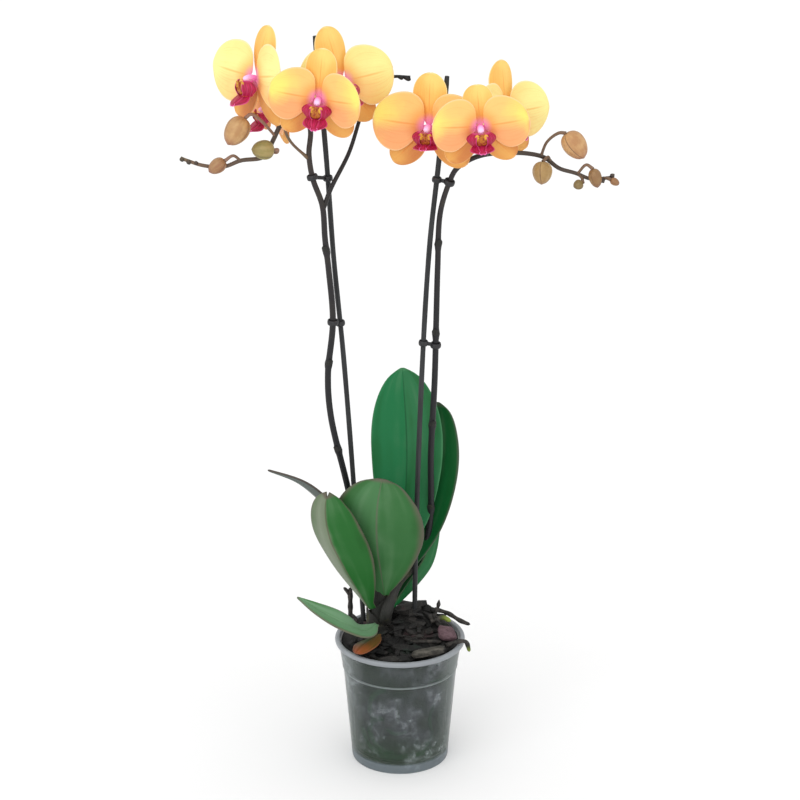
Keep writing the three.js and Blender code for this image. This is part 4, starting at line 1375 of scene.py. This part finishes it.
petal_finish = waxy("petal", (0.83, 0.37, 0.15), (0.86, 0.50, 0.16), (0.87, 0.71, 0.16), (0.87, 0.60, 0.32))
# Painted light: the flowers that face the light wear this paler copy of the petal skin, with a broader
# yellow middle.
lit_petal_finish = waxy(
    "petal_lit", (0.85, 0.45, 0.16), (0.86, 0.60, 0.20), (0.87, 0.80, 0.30), (0.88, 0.72, 0.42), 2.0,
)
dorsal_finish = waxy(
    "sepal_upper", (0.85, 0.47, 0.115), (0.85, 0.49, 0.12), (0.86, 0.60, 0.17), (0.87, 0.74, 0.40),
)
# The lower sepals' own orange, made darker and deeper with painted shade from the petals in front of them.
shaded_lateral_finish = waxy(
    "sepal_lower_shaded", (0.56, 0.20, 0.055), (0.66, 0.27, 0.065), (0.72, 0.36, 0.09), (0.82, 0.48, 0.21),
)

# Emission Strength gives the lip a faint painted glow.
lip_red = Finish("lip_crimson", Specular_IOR_Level=0.35, Emission_Strength=0.03)
along, across = lip_red.sheet()
spot = lip_red.place()
lines = lip_red.streaks(along * 2.0, across * 9.0, 4.0, 0.6)
velvet = lip_red.noise(spot, 900.0, 3.0)
lip_rim = abs(across).highest(along).between(0.86, 0.99)
lip_keel = (1.0 - abs(abs(across) - 0.3)).between(0.93, 0.99) * (1.0 - along.between(0.6, 0.9))
lip_colour = lip_red.coats(
    (0.27, 0.003, 0.03),
    ((0.50, 0.006, 0.075), lines.between(0.38, 0.62)),
    ((0.70, 0.09, 0.30), lip_rim * 0.6),
    ((0.66, 0.08, 0.24), lip_keel * 0.4),
    ((0.78, 0.16, 0.03), (1.0 - along).between(0.9, 1.0) * 0.8),
)
lip_red.colour(lip_colour, glows=True)
lip_red.roughness(0.4 + velvet * 0.2)
lip_red.bump(lines + velvet * 0.4, 0.0005, 0.4)

golden = Finish("callus_gold", Specular_IOR_Level=0.4)
spot = golden.place()
dots = golden.node("TexVoronoi", (), {"Vector": spot, "Scale": 850.0})
patch = golden.noise(spot, 330.0, 3.0)
gold_colour = golden.mix((0.50, 0.16, 0.015), (0.30, 0.035, 0.010), patch.between(0.42, 0.6))
golden.colour(golden.mix(gold_colour, (0.26, 0.012, 0.012), (1.0 - dots.between(0.2, 0.4)) * 0.7))
golden.roughness(0.35 + patch * 0.2)
golden.bump(patch - dots * 0.4, 0.0004, 0.5)

eyed = Finish("callus_eyes", Specular_IOR_Level=0.4)
spot = eyed.place()
patch = eyed.noise(spot, 420.0, 3.0)
eyed.colour(eyed.mix((0.74, 0.38, 0.035), (0.45, 0.15, 0.015), patch.between(0.46, 0.64)))
eyed.roughness(0.35 + patch * 0.2)
eyed.bump(patch, 0.0004, 0.4)

# Emission Strength gives the column a painted glow.
rosy = Finish("column_pink", Specular_IOR_Level=0.35, Emission_Strength=0.12)
spot = rosy.place()
tone = rosy.tone()
bloom = rosy.noise(spot, 420.0, 3.0)
rosy_colour = rosy.ramp(
    tone + (bloom - 0.5) * 0.15,
    (0.0, (0.86, 0.14, 0.46)),
    (0.55, (0.93, 0.30, 0.66)),
    (1.0, (0.99, 0.62, 0.90)),
)
rosy.colour(rosy_colour, glows=True)
rosy.roughness(0.35 + bloom * 0.2)
rosy.bump(bloom, 0.0003, 0.4)


LIP_ROOT = Vector((0, -8, -12.2))
TONGUE_LENGTH = 16.2


def side_lobe(side):
    """An upright ear of the lip, cupped round the column."""

    def shape(s, t):
        half = 6.6 * outline(s, 0.5, 0.7, 0.35)
        x = 3.9 + 5.4 * math.sin(0.3 + 2.55 * s) + 0.62 * t * half - 0.8 * t * t
        y = -9.8 + 0.7 * t * half - 1.2 * s
        return Vector((side * x, y, -14.5 + 13.0 * s)) * MM

    return shape


def middle_lobe(tongue):
    """The lip's tongue: an arrowhead with drooping barbs that hangs by the tongue angle."""
    fall = math.radians(tongue)

    def shape(s, t):
        if s < 0.35:
            half = 7.5 + 3.1 * math.sin(math.pi / 2 * s / 0.35)
        else:
            half = 10.6 * max(0.05, 1 - ((s - 0.35) / 0.65) ** 1.7) ** 0.8
        along = TONGUE_LENGTH * s
        keel = 0.9 * math.exp(-((t / 0.28) ** 2)) * math.sin(math.pi * s)
        forward = -along * math.cos(fall) - keel * math.sin(fall)
        rise = -along * math.sin(fall) - 0.022 * (t * half) ** 2 + keel * math.cos(fall)
        return (LIP_ROOT + Vector((t * half, forward, rise))) * MM

    return shape


def cirrus(side, tongue):
    """One of the two curled threads at the tip of the lip."""
    fall = math.radians(tongue)
    tip = LIP_ROOT - TONGUE_LENGTH * Vector((0, math.cos(fall), math.sin(fall)))
    curl = ((0.4, 0.5, 0.3), (1.4, 0.3, -0.2), (2.6, 0.3, 0.6), (3.0, 0.7, 1.8), (2.2, 1.2, 2.4))
    return Line([tip + Vector((side * x, y, z)) for x, y, z in curl])


def column_radius(share):
    """The column swells a little towards its end, which is round."""
    close = math.sqrt(max(0.04, 1 - ((share - 0.86) / 0.14) ** 2)) if share > 0.86 else 1.0
    return (2.1 + 0.8 * math.sin(share * 2.6)) * close * MM


def swollen(bm, centre, size):
    """A smooth knob, size giving its three radii in millimetres."""
    knob = bmesh.ops.create_uvsphere(bm, u_segments=16, v_segments=12, radius=1.0)["verts"]
    for v in knob:
        v.co = (Vector(centre) + Vector([a * b for a, b in zip(v.co, size)])) * MM


PETAL_THICKNESS = 0.8
# The flowers that face the light, which wear the paler, painted-light copy of the petal skin.
LIT_FLOWERS = (1, 4, 7)
for number, flower in enumerate(FLOWERS, start=1):
    stance = flower_frame(flower)
    node = f"flower_{number}_"
    turn, tilt, share = flower["dorsal"]
    upper_bm = bmesh.new()
    dorsal = tepal(
        angle=turn, start=0, length=44 * share, half=13.3, widest=0.6, cup=-tilt,
        roundness=0.012, depth=3, up=0, ruffle=0.7, phase=number * 1.7,
    )
    spread(upper_bm, dorsal, 22, 14, stance)
    upper = set_down(upper_bm, f"sepal_{number}_upper", [dorsal_finish], [node + "sepals"])
    thicken(upper, PETAL_THICKNESS)
    lower_bm = bmesh.new()
    for side in (-1, 1):
        lateral = tepal(
            angle=side * 137, start=0, length=41.5, half=12.5, widest=0.58, cup=-2,
            roundness=0.01, depth=3, up=0, ruffle=0.8, phase=number * 2.3 + side,
        )
        spread(lower_bm, lateral, 22, 14, stance)
    lower = set_down(lower_bm, f"sepals_{number}_lower", [shaded_lateral_finish], [node + "sepals"])
    thicken(lower, PETAL_THICKNESS)
    for side, word, cup in ((-1, "left", flower["cups"][0]), (1, "right", flower["cups"][1])):
        petal_bm = bmesh.new()
        broad = tepal(
            angle=side * 82, start=3.5, length=42.5, half=23.6, widest=0.52, cup=cup,
            roundness=0.006, depth=0.6, up=-side, ruffle=0.9, phase=number * 3.1 + side * 0.8,
        )
        spread(petal_bm, broad, 26, 22, stance)
        skin = lit_petal_finish if number in LIT_FLOWERS else petal_finish
        petal = set_down(petal_bm, f"petal_{number}_{word}", [skin], [node + "petal_" + word])
        thicken(petal, PETAL_THICKNESS)
    mouth = stance @ Matrix.Scale(flower["lip"], 4)
    lip_bm = bmesh.new()
    for side in (-1, 1):
        spread(lip_bm, side_lobe(side), 14, 12, mouth)
    spread(lip_bm, middle_lobe(flower["tongue"]), 16, 14, mouth)
    lip = set_down(lip_bm, f"lip_{number}", [lip_red], [node + "lip"])
    thicken(lip, 0.7)
    column_bm = bmesh.new()
    for side in (-1, 1):
        thread = cirrus(side, flower["tongue"])
        grow(column_bm, thread, lambda share: (0.34 - 0.22 * share) * MM, 18, 8, lambda share: 0.12)
    raised = Line([(0, 3.2, -0.8), (0, -1.2, -0.5), (0, -5, -0.4), (0, -8.6, -1.6), (0, -9.6, -2.2)])
    grow(column_bm, raised, column_radius, 22, 16, lambda share: share)
    foot = Line([(0, -2.4, -1.8), (0, -5, -6), (0, -7.6, -11), (0, -8.8, -14)])
    grow(column_bm, foot, lambda share: (1.8 + 0.5 * share) * MM, 12, 12, lambda share: 0.0)
    bmesh.ops.transform(column_bm, matrix=mouth, verts=column_bm.verts)
    set_solid(column_bm, f"column_{number}", [rosy], [node + "lip"])
    plate_bm = bmesh.new()
    swollen(plate_bm, (0, -12.0, -8.0), (5.8, 2.2, 5.2))
    swollen(plate_bm, (0, -14.0, -6.4), (0.9, 0.9, 3.0))
    bmesh.ops.transform(plate_bm, matrix=mouth, verts=plate_bm.verts)
    set_down(plate_bm, f"callus_{number}", [golden], [node + "lip"])
    eyes_bm = bmesh.new()
    for side in (-1, 1):
        swollen(eyes_bm, (side * 3.7, -13.3, -5.4), (2.0, 1.3, 2.9))
    bmesh.ops.transform(eyes_bm, matrix=mouth, verts=eyes_bm.verts)
    set_down(eyes_bm, f"callus_eyes_{number}", [eyed], [node + "lip"])
